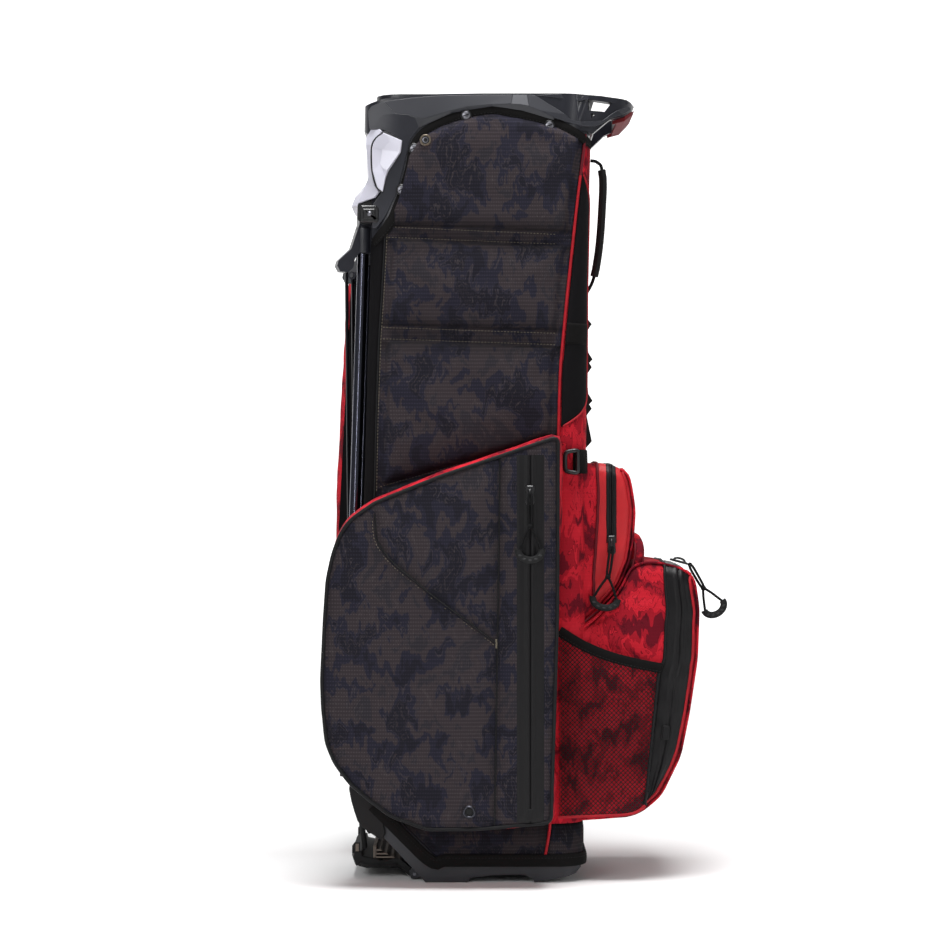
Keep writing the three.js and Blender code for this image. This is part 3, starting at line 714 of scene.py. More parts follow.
def wall_sheet(name, left, right, low, high, relief, material, columns, rows, side=-1, thickness=3, folds=()):
    """Cloth on the body between two seams, left(z) and right(z), and two edges, low(x) and high(x)."""
    points, spans = [], []
    for j in range(columns + 1):
        def lean(z, share=j / columns):
            return mix(left(z), right(z), share)
        bottom = crossing(lambda z: z - low(wall(lean(z), z).x), 20, 700)
        top = crossing(lambda z: z - high(wall(lean(z), z).x), bottom, 890)
        spans.append((lean, row_heights(lean, bottom, top, folds, rows)))
    for i in range(sum(rows) + 1):
        for lean, heights in spans:
            z, s = heights[i], lean(heights[i])
            edges = min(s - left(z), right(z) - s, z - heights[0], heights[-1] - z)
            points.append(wall(s, z, relief(s, z, edges), side))
    faces = [face if side < 0 else face[::-1] for face in grid_faces(sum(rows), columns)]
    return thickened(piece(name, points, faces, material, crease=60, open_sheet=True), thickness)


EDGE_FLAT = 8             # flat margin of the padded panels, under the tape and the piping
CREASE_SHADE = (0.95, 8)  # how dark the painted shade in the body's creases is, and how far it reaches
BAND_FACE = 14            # painted shade of a quilted band, as if it were this far from a crease
POCKET_FOOT = 68          # the cloth below this lies in the pockets' shadow, which is painted on as shade
OVERLAP = 1.0001          # the two halves of a panel meet a hair past the middle


def quilt_distance(x, z):
    """How far a height is from the nearest quilted band."""
    gaps = []
    for low, high in QUILT_BANDS:
        gaps.append(max(0.0, quilt_height(QUILT_LINES[low], x) - z, z - quilt_height(QUILT_LINES[high], x)))
    return min(gaps)


def quilted(s, z, edges):
    """Padding that swells between the quilting lines, with puckers along them."""
    near = quilt_distance(s, z)
    seam = min(near, max(0.0, edges - EDGE_FLAT))
    swell = 7.5 * float(rise(seam, 8)) + 3.0 * float(rise(seam, 45))
    beside = math.exp(-seam / 9) * float(rise(seam, 4)) * float(rise(edges, 14))
    pucker = 1.2 * ripple(s, z * 0.4, 7, 3) * beside
    loose = 1.8 * ripple(s * 0.6, z * 1.6, 45, 9) * float(rise(edges, 25))
    return max(0.1, swell + pucker + loose)


def smooth_wall(s, z, edges):
    return 1.6 * float(rise(edges, 10)) + 0.5 * ripple(s, z, 40, 5) * float(rise(edges, 20))


def spine_middle(z):
    return middle(z, 1) * OVERLAP


def leg_side_middle(z):
    return middle(z, -1) * OVERLAP


def add_body():
    for side, word in SIDES:
        panel = wall_sheet(f"quilted_{word}_panel", side_seam, spine_seam, base_line, collar_line, quilted,
                           CAMO, 74, QUILT_ROWS, side, folds=QUILT_LINES)
        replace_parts(panel, f"{word}_panel")
        # painted shade in the panel's creases and under the pockets
        shade_creases(panel, quilt_shade, *CREASE_SHADE)
        spine = wall_sheet(f"spine_cloth_{word}", spine_seam, spine_middle, lambda x: POCKET_FOOT - 2,
                           collar_line, smooth_wall, RED_CAMO, 26, (190,), side)
        foot = wall_sheet(f"spine_foot_cloth_{word}", spine_seam, spine_middle, base_line,
                          lambda x: POCKET_FOOT - 1, smooth_wall, CAMO, 26, (12,), side)
        # painted shade under the pockets on the foot cloth
        shade_creases(foot, quilt_shade, *CREASE_SHADE)
        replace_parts(spine, "spine_panel")
        gusset = wall_sheet(f"leg_side_cloth_{word}", leg_side_middle, side_seam, base_line, collar_line,
                            smooth_wall, PLAIN, 26, (150,), side)
        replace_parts(gusset, "leg_side_panel")
        add_quilt_stitches(panel, side, word)
        add_seam_piping(side, word)
        add_spine_strip(side, word)
        add_collar_tape(side, word)
        add_base_tape(side, word)


def shade_creases(shown, distances, depth, reach):
    """Paints shade into a cloth's creases. distances(flat) gives how far flat (X, Z) points are from them."""
    flat = [(v.co.x / MM, v.co.z / MM) for v in shown.data.vertices]
    shade = shown.data.attributes.new(SHADE, "FLOAT", "POINT")
    shade.data.foreach_set("value", depth * np.exp(-np.asarray(distances(flat)) / reach))


def quilt_shade(flat):
    """Painted shade: dark beside the quilted bands and just under the pockets, lighter on the bands
    themselves.
    """
    distances = []
    for x, z in flat:
        away = quilt_distance(x, z)
        under_pocket = 1 + max(0.0, POCKET_FOOT - z) * 0.3 + max(0.0, z - POCKET_FOOT)
        distances.append(min(away if away > 0.6 else BAND_FACE, under_pocket))
    return distances


def add_quilt_stitches(panel, side, word):
    tree = surface(panel)
    for i, line in enumerate(QUILT_LINES):
        start, end = line[0][0] + 3, min(line[1][0], 90)
        row = [(x, side * HALF_WIDTH, quilt_height(line, x)) for x in np.arange(start, end, 3)]
        path, ups = laid(row, tree, (0, -side, 0), 0.3)
        stitched(f"quilt_stitch_{i}_{word}", path, ups, THREAD)


def add_seam_piping(side, word):
    """Piping up the seam between the side and the spine, bright below and darker camo towards the collar."""
    def seam(low, high):
        return [wall(spine_seam(z), z, 1.6, side) for z in np.linspace(low, high, 30)]
    tube(f"spine_piping_{word}", seam(30, 795), 1.6, RED_PIPING)
    tube(f"spine_piping_top_{word}", seam(795, 842), 1.6, DARK_RED_PIPING)
    edge = [wall(side_seam(z), z, 1.0, side) for z in np.linspace(132, 738, 30)]
    tube(f"leg_side_seam_{word}", edge, 1.2, BLACK_PIPING)
    row = [wall(side_seam(z) + 2.2, z, 2.2, side) for z in np.linspace(440, 738, 90)]
    stitched(f"leg_side_stitch_{word}", row, [Vector((0, side, 0))] * len(row), THREAD)


STRIP = (512, 797)        # lower and upper end of the plain strip over the spine's corner
LABEL = (605, 629)        # the webbing label across it


def add_spine_strip(side, word):
    """Plain strip over the spine's corner, with a thin border, and a webbing label across it."""
    low, high = STRIP

    def inner(z):
        return spine_seam(z) + 2.5

    def outer(z):
        straight, radius = corner(z, 1)
        full = straight + radius * 1.42
        ends = min((z - low) / 40, (high - z) / 40, 1)
        return mix(inner(z) + 1, full, math.sin(max(0.0, ends) * math.pi / 2))

    strip = wall_sheet(f"spine_strip_{word}", inner, outer, lambda x: low, lambda x: high,
                       lambda s, z, edges: 1.5 + 1.4 * float(rise(edges, 6)), PLAIN, 12, (80,), side, 1.5)
    border = [wall(outer(z), z, 2.2, side) for z in np.linspace(low + 1, high - 1, 60)]
    tube(f"spine_strip_border_{word}", border, 1.1, RED_PIPING)
    label = wall_sheet(f"webbing_label_{word}", inner, lambda z: spine_seam(z) + 34,
                       lambda x: LABEL[0], lambda x: LABEL[1],
                       lambda s, z, edges: 2.6 + 1.4 * float(rise(edges, 1.5)), TAPE, 16, (14,), side, 1.2)


def add_collar_tape(side, word):
    """Binding tape and its stitching along the cloth's upper edge."""
    line = smooth_path([(x, 0, z) for x, z in COLLAR_EDGE], 4)
    path, ups = [], []
    for place, ahead in zip(line, tangents(line)):
        down = ahead.cross(Vector((0, -1, 0))).normalized()
        down = down if down.z < 0 or down.x > 0 else -down
        centre = place + down * 5.4
        s = skin(centre.x, centre.z)
        path.append(wall(s, centre.z, 1.5, side))
        ups.append((wall(s, centre.z, 2, side) - wall(s, centre.z, 1, side)).normalized())
    swept(f"collar_tape_{word}", path, ups, band_section(10.8, 1.5, 0.4, 1.8), TAPE)
    stitch_line = []
    for place, ahead, up in zip(path, tangents(path), ups):
        across = ahead.cross(up).normalized()
        across = across if across.z < 0 else -across
        stitch_line.append(place + across * 3.2 + up * 1.5)
    stitched(f"collar_tape_stitch_{word}", stitch_line, ups, BLACK_PIPING, radius=0.5)


def add_base_tape(side, word):
    """Binding tape and its stitching round the foot of the cloth."""
    def line(rise_by):
        path, ups = [], []
        for s in np.arange(-118, 235, 4):
            toe = float(rise(-40 - s, 24))
            z = min(base_line(wall(s, 60).x) + rise_by - 9 * toe, 118)
            path.append(wall(s, z, 3.4, side))
            ups.append((wall(s, z, 2, side) - wall(s, z, 1, side)).normalized())
        return path, ups
    path, ups = line(-3.5)
    swept(f"base_tape_{word}", path, ups, band_section(13.5, 1.4, 0.5, 3.0), TAPE)
    path, ups = line(-0.5)
    stitched(f"base_tape_stitch_{word}", [p + u * 1.5 for p, u in zip(path, ups)], ups, BLACK_PIPING)


# ---------------------------------------------------------------- collar
def add_collar():
    carry("top_collar", COLLAR_DARK, 0.8)
    carry("collar_grip", RED_RUBBER, 0.8)
    carry("divider_rim", FOAM, 1.2)
    carry("divider_bars", FOAM, 1.6)
    for side, word in SIDES:
        add_collar_facets(side, word)
        add_leaf(side, word)
        add_collar_fasteners(side, word)


# Half width of the collar along X.
COLLAR_PLAN = [(97, COLLAR_HALF), (112, 104.3), (140, 88.4), (163, 67.4), (175, 49.4), (180.5, 26.4)]

# The moulded facets are polygons between named corners. Each row of corners is (X, Z, distance out from the
# collar's side), and a corner's name is its row's letter and its number in the row, from 1.
LEAF_CORNERS = {
    "o": [(-106, 841.5, 5.5), (-85.4, 832.8, 5.5), (-87.3, 820, 5.5), (-102.3, 799.2, 5.2),
          (-103.8, 793, 5.0), (-107, 775.5, 4.4), (-113.2, 780.5, 4.6), (-118.4, 799.2, 5.0),
          (-118.9, 825, 5.2), (-114.2, 835.5, 5.4)],    # the leaf's outline
    "i": [(-98.7, 833.4, 4.4), (-108, 823, 1.4), (-110.6, 807, 1.4), (-107, 802, 1.0), (-105.4, 797, 1.6)],
}
LEAF_FACETS = (
    "o1 i1 i2 o9 o10, o1 o2 o3 i1, o3 i2 i1, o3 o4 i4 i3 i2, o4 o5 i5 i4, o9 i2 i3 o8, o8 i3 i4 i5, "
    "o8 i5 o5 o6 o7")
COLLAR_CORNERS = {
    "a": [(-106, 877.5, 0.8), (-75, 881.5, 0.8), (-42, 884, 0.8), (5, 885, 0.8), (39, 885, 0.8),
          (55, 885, 0.8), (64, 884.5, 0.8)],    # upper edge of the light band
    "b": [(-92, 863, 4.2), (-79, 862, 4.4), (-71, 859, 4.4), (-61, 857.5, 4.2), (-50, 861, 4.2),
          (-32, 866.5, 4.2), (-12, 871, 4.2), (13, 873.5, 4.2), (37, 874.2, 4.4), (47, 873.6, 4.6),
          (57, 871.5, 4.6), (70, 866.5, 4.4), (86, 858.5, 3.8)],    # its lower edge
    "w": [(98.5, 862.5, 2.4), (103, 857.5, 2.6), (115, 855.2, 2.6), (141, 858.5, 2.4), (150, 866, 2.2),
          (158, 872, 2.0), (173, 879.5, 1.4)],    # upper edge of the handle's ridge
    "v": [(103, 853, 3.2), (117, 850.5, 3.2), (131, 851, 3.0), (141, 855.5, 3.0), (150, 862.5, 2.8),
          (165, 868.5, 2.2), (175.5, 876.5, 1.6)],    # its lower edge
    "r": [(92, 881, 1.2), (115, 878.6, 1.4), (124.5, 881.8, 1.2), (151, 880.8, 1.2), (172, 881.5, 1.0)],
    "q": [(92, 886, 0.5), (124.5, 886, 0.5), (151, 886, 0.5), (171, 885.6, 0.5)],    # top of the handle
    "t": [(-114, 735, 1.2), (-103, 750, 1.2), (-91, 775, 1.2), (-84.5, 800, 1.2), (-80, 818, 1.2),
          (-76, 834, 1.2), (-66, 847.5, 1.4)],    # edge towards the cloth
    "c": [(-107.5, 862, 2.6), (-105, 845, 2.8), (-88, 836, 2.6), (-90, 826, 2.2), (-98, 808, 2.0),
          (-104, 790, 1.8), (-108, 776, 1.6), (-118, 762, 1.4), (-119, 735, 1.0)],    # edge round the leaf
    "k": [(-122, 846, 0.2), (-124, 866, 0.2), (-120, 872, 0.2)],    # front end
    "s": [(-30, 864, 1.0), (17, 871.5, 1.0), (50, 866.5, 1.0), (84, 855.5, 1.0)],    # arch over the cloth
}
LIGHT_FACETS = (
    "a1 b1 b2 a2, a2 b2 b3 b4 b5 a3, a3 b5 b6 b7 a4, a4 b7 b8 b9 a5, a6 b11 b12 w1 a7, b12 b13 v1 w2 w1, "
    "w2 v1 v2 w3, w3 v2 v3 w4, w4 v3 v4, w4 v4 v5 w5, w5 v5 v6 w6, w6 v6 v7 w7")
# the facet with the painted highlight
HIGHLIGHT_FACETS = "a5 b9 b10 b11 a6"
DARK_FACETS = (
    "a7 r1 q1, q1 r1 r2 r3 q2, q2 r3 r4 q3, q3 r4 r5 q4, a1 c1 b1, b1 c1 c2 c3, b1 c3 t6 t7 b3 b2, b3 t7 b4, "
    "c3 c4 t5 t6, c4 c5 t4 t5, c5 c6 t3 t4, c6 c7 t2 t3, c7 c8 c9 t1 t2, a1 k3 k2 k1 c2 c1, b4 t7 s1 b6 b5, "
    "b6 s1 s2 b8 b7, b8 s2 s3 b11 b10 b9, b11 s3 s4 b13 b12")


def named_corners(rows):
    return {f"{letter}{i + 1}": corner for letter, row in rows.items() for i, corner in enumerate(row)}


def faceted(name, rows, listed, side, winding, material, thickness, bevel=0.5, segments=2):
    """A moulded plate of flat facets on the collar's side."""
    table = named_corners(rows)
    facets = [facet.split() for facet in listed.split(",")]
    names = sorted({spot for facet in facets for spot in facet})
    points = []
    for x, z, out in (table[spot] for spot in names):
        points.append((x, side * (along_table(COLLAR_PLAN, x) + out), z))
    faces = [tuple(names.index(spot) for spot in facet)[::winding] for facet in facets]
    shown = piece(name, points, faces, material, crease=8, open_sheet=True)
    return bevelled(thickened(shown, thickness), bevel, segments, 8)


def add_collar_facets(side, word):
    # one facet is lighter: a painted highlight
    for shade, facets, material in (("light", LIGHT_FACETS, COLLAR), ("highlight", HIGHLIGHT_FACETS, COLLAR_HIGHLIGHT),
                                    ("dark", DARK_FACETS, COLLAR_DARK)):
        shown = faceted(f"collar_facets_{shade}_{word}", COLLAR_CORNERS, facets, side, -side, material, 3.5)


def add_leaf(side, word):
    """White satin leaf with a scooped middle, set into the collar."""
    leaf = faceted(f"collar_leaf_{word}", LEAF_CORNERS, LEAF_FACETS, side, side, WHITE, 4, 0.7, 3)
    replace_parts(leaf, f"{word}_cover")
    outline = LEAF_CORNERS["o"]
    # a black cord along the leaf's edge is painted shade in the gap round the leaf
    edge = [(x - 0.6, side * (COLLAR_HALF + out - 0.6), z) for x, z, out in outline[:1] + outline[:4:-1]]
    tube(f"collar_leaf_gap_{word}", edge, 0.9, BLACK)


def area_of(outline):
    return abs(sum(a[0] * b[1] - b[0] * a[1] for a, b in zip(outline, outline[1:] + outline[:1]))) / 2


RIVETS = ((-13.5, 861.5), (80, 850), (-72, 824), (-86, 778))
RIVET_RING = [(6.2, -3), (6.2, 0.6), (5.6, 1.1), (4.8, 1.1), (4.8, -1)]
RIVET_DOME = [(4.7, 0), (4.7, 1.0), (4.2, 1.7), (2.8, 2.3), (0, 2.5)]
RIVET_SLOT = [(-3.2, -0.5), (3.2, -0.5), (3.2, 0.5), (-3.2, 0.5)]
SNAP_SOCKET = [(6.6, -9), (6.6, 0.6), (5.9, 1.5), (4.6, 1.5), (4.2, 0.8)]


def add_collar_fasteners(side, word):
    """The rivets that hold the cloth to the collar, and a snap socket."""
    out = Vector((0, side, 0))
    for i, (x, z) in enumerate(RIVETS):
        seat = Vector((x, side * (HALF_WIDTH + 3.6), z))
        turned(f"rivet_ring_{i}_{word}", seat, out, RIVET_RING, BLACK)
        upright = framed(seat, (0.35, 0, -1), out)
        plate(f"rivet_slot_{i}_{word}", RIVET_SLOT, [(0, 0), (0, 2.65)], upright, DARK_STEEL)
        turned(f"rivet_{i}_{word}", seat, out, RIVET_DOME, STEEL)
    seat = Vector((-59, side * (HALF_WIDTH + 9.5), 833))
    turned(f"snap_socket_{word}", seat, out, SNAP_SOCKET, BRASS)
    turned(f"snap_bed_{word}", seat, out, [(5.0, 0), (5.0, 0.95)], BLACK)
    turned(f"snap_ring_{word}", seat, out, [(3.4, 0.2), (3.4, 1.9), (2.4, 2.1), (2.2, 1.2)], STEEL)
    turned(f"snap_centre_{word}", seat, out, [(2.1, 0.2), (2.1, 1.4), (0, 1.5)], BLACK)


# ---------------------------------------------------------------- bands laid over curved cloth
def resting(points, tree, lift):
    """Points moved to the nearest place on a surface, with the surface's directions there."""
    places, ups = [], []
    for point in points:
        place, up, _, _ = tree.find_nearest(Vector(point) * MM)
        places.append(place / MM + up * lift)
        ups.append(up)
    return places, calmed(ups)


def draped(name, first, second, tree, across, height, material, step=3.0):
    """A band between two lines, laid on a surface. height(share) is how far it stands off, line to line."""
    rows = max(len(even_path(first, step)), len(even_path(second, step)))
    lines = []
    for line in (first, second):
        total = sum((Vector(b) - Vector(a)).length for a, b in zip(line, line[1:]))
        lines.append(even_path(line, total / (rows - 0.999)))
    count = min(len(lines[0]), len(lines[1]))
    points = []
    for i in range(count):
        for share in (j / across for j in range(across + 1)):
            place, up, _, _ = tree.find_nearest(lines[0][i].lerp(lines[1][i], share) * MM)
            points.append(place / MM + up * height(share))
    return piece(name, points, grid_faces(count - 1, across), material, crease=50)


EDGE_SINK = 0.4           # how far the edges of a band go down into the cloth


def flat_band(thickness, reach):
    """A band's height, even between its two edges."""
    return lambda share: thickness * float(rise(min(share, 1 - share), reach)) - EDGE_SINK * (share in (0, 1))


def zip_band(thickness=0.8, lip=1.1):
    """A coated zip: flat tape with two lips that meet in a groove along the middle."""
    def height(share):
        off = abs(share - 0.5) * 2
        lips = lip * max(0.0, 1 - ((off - 0.2) / 0.2) ** 2)
        groove = -0.5 if off < 0.05 else 0.0
        return thickness * float(rise(1 - off, 0.2)) + lips + groove - EDGE_SINK * (off > 0.99)
    return height


# ---------------------------------------------------------------- zip sliders and pulls
def framed(origin, down, out):
    """Places points given across the zip, down it and out from the cloth."""
    down, out = Vector(down).normalized(), Vector(out).normalized()
    across = out.cross(down)
    return lambda a, b, c: Vector(origin) + across * a + down * b + out * c


SLIDER = [(-5, -9), (-4.2, -1), (-5, 8), (-3.6, 10.5), (3.6, 10.5), (5, 8), (4.2, -1), (5, -9), (3, -10.5),
          (-3, -10.5)]


def slider(word, place):
    """Zip slider: a waisted body with a flat crown and the bridge that the pull hangs in."""
    body = f"{word}_slider"
    layers = [(-0.6, -1.4), (0, -0.8), (0, 0.4), (-1.2, 1.3)]
    shown = plate(f"{word}_zip_slider", SLIDER, layers, place, BLACK, body)
    bevelled(shown, 0.3)
    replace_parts(shown, f"{word}_slider")
    arch = [place(0, b, c) for b, c in ((-6, 0.8), (-5, 2.6), (-2, 3.6), (3, 3.6), (6, 2.4), (7, 0.8))]
    tube(f"{word}_zip_bridge", arch, 1.3, BLACK, body, step=1.5)


GRIP_SECTION = [(-3.4, -1.2), (-3.9, 0), (-3.4, 1.2), (0, 1.7), (3.4, 1.2), (3.9, 0), (3.4, -1.2), (0, -1.7)]
KNOT = [(1.6, 0), (2.9, 0.8), (3.2, 2.6), (2.9, 4.4), (1.6, 5.2)]
PULL_CORD = 1.45          # radius


def pull(word, place, length, spread=13):
    """Cord loop with a knot half way down, and a curved moulded grip with ribs at its foot."""
    body = f"{word}_pull"
    knot, foot = length * 0.48, length * 0.84

    def on_grip(turn):
        return math.sin(turn) * spread, foot + math.cos(turn) * length * 0.14
    for sign, hand in ((-1, "a"), (1, "b")):
        strand = [(0.8, 1, 0.6), (1.9, 6, 0.9), (1.7, knot - 5, 0.2), (0.9, knot, 0),
                  (spread * 0.45, knot + length * 0.14, 0.1), (spread * 0.96, foot, 0)]
        strand = [place(sign * a, b, c) for a, b, c in strand]
        tube(f"{word}_pull_cord_{hand}", strand, PULL_CORD, CORD, body, step=2.0)
    turns = np.linspace(math.pi, 2 * math.pi, 6)
    loop = [place(math.cos(turn) * 1.5, 1 + math.sin(turn) * 1.8, 0.6) for turn in turns]
    tube(f"{word}_pull_loop", loop, PULL_CORD, CORD, body, step=1.5)
    down, out = (place(*way) - place(0, 0, 0) for way in ((0, 1, 0), (0, 0, 1)))
    turned(f"{word}_pull_knot", place(0, knot - 2.6, 0), down, KNOT, CORD, body, 12, 60)
    arc = [place(*on_grip(turn), 0) for turn in np.linspace(-1.72, 1.72, 25)]
    grip = swept(f"{word}_pull_grip", arc, out, GRIP_SECTION, RUBBER, body, crease=60)
    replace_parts(grip, f"{word}_pull")
    for i, turn in enumerate((-1.05, -0.52, 0, 0.52, 1.05)):
        across, along = on_grip(turn)
        angles = np.linspace(0, math.tau, 9)[:-1]
        rib = [(across + math.cos(k) * 2.0, along + math.sin(k) * 1.1) for k in angles]
        plate(f"{word}_pull_rib_{i}", rib, [(0, 0.8), (0, 1.9), (-0.5, 2.2)], place, BLACK, body)


# ---------------------------------------------------------------- side pockets
SIDE_POCKET = [
    (80, 75), (57, 73), (1, 68), (-56, 67.5), (-96, 82), (-120, 100), (-141, 118), (-158, 141), (-167, 163),
    (-171, 203), (-172, 232), (-169, 298), (-166, 342), (-160, 370), (-152, 392), (-141, 408), (-114, 427),
    (-42, 456), (88, 500), (87, 300)]
APPAREL_POCKET = [
    (80, 75), (57, 73), (1, 68), (-56, 67.5), (-96, 82), (-120, 100), (-141, 118), (-158, 141), (-167, 163),
    (-171, 232), (-168, 391), (-161, 531), (-153, 683), (-146, 712), (-128, 733), (-60, 742), (60, 735),
    (86, 715), (87, 300)]
SLANT_SEAM = [(-114, 415), (-112, 390), (-105, 375), (-91, 359), (-73, 344), (-51, 326), (-19, 302),
              (13, 278), (20, 272)]
SIDE_ZIP_SEAM = [(24, 478), (22, 321), (18, 70)]
APPAREL_ZIP_SEAM = [(24, 738), (22, 321), (18, 70)]
ZIP_SEAM_LINE = [(70, 18), (321, 22), (740, 24)]      # (Z, X) where the flat strip with the zip begins
APPAREL_SLANT_SEAM = [(-160, 540), (-90, 480), (-20, 400), (21, 330)]
ZIP_X = 57
ZIP_EDGES = (ZIP_X - 15, ZIP_X + 16)
FACE_CROWN = 6            # how far the middle of a side pocket's face swells out


def cut_corners(outline, reach=7):
    """The outline with each corner replaced by a short curve."""
    eased = []
    points = [Vector(p) for p in outline]
    for before, here, after in zip(points[-1:] + points[:-1], points, points[1:] + points[:1]):
        start = here + (before - here).normalized() * min(reach, (before - here).length * 0.45)
        end = here + (after - here).normalized() * min(reach, (after - here).length * 0.45)
        for t in (0, 0.33, 0.67, 1):
            eased.append(tuple(start * (1 - t) ** 2 + here * 2 * t * (1 - t) + end * t ** 2))
    return eased


def ripples(flat, size, seed, flattened=1.0):
    return np.array([ripple(x, z * flattened, size, seed) for x, z in flat])


def face_height(flat, outline, seams, zip_seam):
    """How far a pocket's face stands out: full between the seams, low along them and by the zip."""
    edge = edge_distance(flat, outline)
    by_zip = edge_distance(flat, zip_seam, closed=False)
    beyond = np.array([x > along_table(ZIP_SEAM_LINE, z) for x, z in flat])
    swell = np.where(beyond, 0.5 * rise(edge, 12), FACE_CROWN * rise(np.minimum(edge, by_zip * 1.6), 85))
    height = swell + 1.8 * rise(edge, 7)
    for seam in seams:
        away = edge_distance(flat, seam, closed=False)
        height -= 1.5 * np.exp(-(away / 2.4) ** 2)
        height += 0.5 * np.exp(-away / 8) * ripples(flat, 6, 2)
    calm = np.where(beyond, 0.25, 1.0)
    height += calm * 1.3 * rise(edge, 30) * ripples(flat, 60, 4, 0.7)
    height += 0.4 * np.exp(-edge / 7) * ripples(flat, 8, 8)
    return height


def add_side_pocket(word, side, outline, level, slant, zip_seam, zip_low, zip_high):
    """A pocket's face, back, soft wall and piping, its two seams, and its zip."""
    rim = cut_corners(outline)
    flat, faces = filled(rim, CLOTH_PITCH)
    folds = (slant, zip_seam)
    heights = face_height(flat, rim, folds, zip_seam)
    points = [(x, side * (level - 1.8 + h), z) for (x, z), h in zip(flat, heights)]
    oriented = [f if side < 0 else f[::-1] for f in faces]
    face = piece(f"{word}_pocket_face", points, oriented, CAMO, crease=60, open_sheet=True)
    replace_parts(face, f"{word}_pocket")
    tree = surface(face)
    # painted shade along the pocket's rim and in its two seams
    shade_creases(face, lambda flat: np.minimum.reduce([
        edge_distance(flat, rim) + 1, *(edge_distance(flat, fold, closed=False) for fold in folds)]), 0.5, 5)
    back, back_faces = filled(rim, 16)
    points = [(x, side * (HALF_WIDTH + 1), z) for x, z in back]
    piece(f"{word}_pocket_back", points, back_faces, PLAIN, open_sheet=True)
    add_gusset(f"{word}_pocket_gusset", rim, side, HALF_WIDTH + 0.6, level - 1.6)
    loop = even_path([(x, side * (level - 1.2), z) for x, z in grown(rim, 0.4)], 3, closed=True)
    tube(f"{word}_pocket_piping", loop, 2.1, BLACK_PIPING, closed=True, step=6)
    for i, seam in enumerate(folds):
        path, ups = laid([(x, side * level, z) for x, z in smooth_path(seam, 3)], tree, (0, -side, 0), 0.35)
        swept(f"{word}_pocket_seam_{i}", path, ups, band_section(1.6, 0.5, 0.3, 0.8), BLACK_PIPING)
        beside = [p + a.cross(u).normalized() * 3.0 for p, a, u in zip(path, tangents(path), ups)]
        stitched(f"{word}_pocket_seam_stitch_{i}", beside, ups, THREAD if i == 0 else DARK_THREAD)
    end_x, end_z = slant[-1]
    tack, ups = laid([(end_x, side * level, end_z + k) for k in (-5, 0, 5)], tree, (0, -side, 0), 0.5)
    swept(f"{word}_bar_tack", tack, ups, band_section(2.2, 0.8), THREAD)
    left, right = ([(x, side * level, z) for z in (zip_low, zip_high)] for x in ZIP_EDGES)
    band = draped(f"{word}_zip_band", left, right, tree, 36, zip_band(), BLACK_COATED)
    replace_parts(band, f"{word}_zip")
    place = framed((ZIP_X, side * (level + 0.8), zip_low + 9), (0, 0, -1), (0, side, 0))
    stop = [(-3.5, -6), (3.5, -6), (4, 7), (-4, 7)]
    plate(f"{word}_zip_stop", cut_corners(stop, 2), [(0, -0.5), (0, 1.4), (-0.8, 1.9)], place, BLACK_COATED)
    if word == "side":
        add_eyelet(tree)


EYELET_RING = [(7.4, -2), (7.4, 0.8), (6.8, 1.8), (6.0, 2.3), (5.2, 1.9), (4.6, 1.2), (4.3, -2)]


def add_eyelet(tree):
    """Drain eyelet in the left pocket's face, standing a little out of the cloth."""
    (seat,), _ = laid([(-10, -SIDE_FACE, 87)], tree, (0, 1, 0), 0)
    seat = seat - Vector((0, 0.9, 0))
    ring = turned("drain_ring", seat, (0, -1, 0), EYELET_RING, GUNMETAL)
    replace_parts(ring, "drain_eyelet")
    turned("drain_hole", seat, (0, -1, 0), [(4.2, -1), (4.2, 0.6)], RUBBER)


GUSSET_ROWS = 9
GUSSET_SWELL = 5.5
GUSSET_FREEDOM = [(60, 0.9), (118, 0.9), (150, 0.05), (300, 0.05), (420, 1.0)]  # (Z, share of the swell)


def add_gusset(name, rim, side, inner, outer):
    """Soft wall between the body and a pocket's face, swelling a little past the piping."""
    base = [tuple(p) for p in even_path(rim, 5, closed=True)]
    full = grown(base, GUSSET_SWELL)
    points = []
    for share in (i / GUSSET_ROWS for i in range(GUSSET_ROWS + 1)):
        swell = math.sin(share * math.pi) ** 0.7
        y = side * mix(inner, outer, share)
        for (x, z), (full_x, full_z) in zip(base, full):
            ease = swell * along_table(GUSSET_FREEDOM, z)
            give = 1.5 * ripple(x, z, 26, share * 1.5) * ease
            points.append((mix(x, full_x, ease) + give, y, mix(z, full_z, ease) + give))
    shown = piece(name, points, ring_faces(GUSSET_ROWS + 1, len(base)), RED_CAMO, crease=60)
    return shown


def add_side_pockets():
    add_side_pocket("side", -1, SIDE_POCKET, SIDE_FACE, SLANT_SEAM, SIDE_ZIP_SEAM, 75, 480)
    add_side_pocket("apparel", 1, APPAREL_POCKET, APPAREL_FACE, APPAREL_SLANT_SEAM, APPAREL_ZIP_SEAM,
                    110, 700)
    for word, side, level, z in (("side", -1, SIDE_FACE, 437), ("apparel", 1, APPAREL_FACE, 662)):
        slider(word, framed((ZIP_X, side * (level + 2.4), z - 1), (0, 0, -1), (0, side, 0)))
        pull(word, framed((ZIP_X, side * (level + 8), z), (0, 0, -1), (0, side, 0)), 74)


# ---------------------------------------------------------------- rear pockets
WING_X = 91               # the rear pockets' side faces run on to the seam with the side panels
WING_REACH = 46           # over this length they come in from the body's half width to their own
VALUABLES_POCKET = [
    (WING_X, 474), (121, 471), (148, 470), (170, 461), (174, 445), (178, 418), (176, 387), (172, 361),
    (159, 331), (134, 303), (110, 284), (WING_X, 271)]
BALL_POCKET = [
    (WING_X, 68), (WING_X, 262), (110, 278), (134, 296), (160.5, 327), (174, 354), (187, 359),
    (205, 359), (232, 352), (245, 341), (250, 307), (248, 250), (239, 190), (229, 140), (207, 95),
    (186, 77.5), (171, 71.5)]
BELT_ROWS = 36


def wing(x, half):
    """How much farther out than its half width a rear pocket's side face is."""
    return (HALF_WIDTH + 1 - half) * (1 - float(rise(x - WING_X, WING_REACH)))


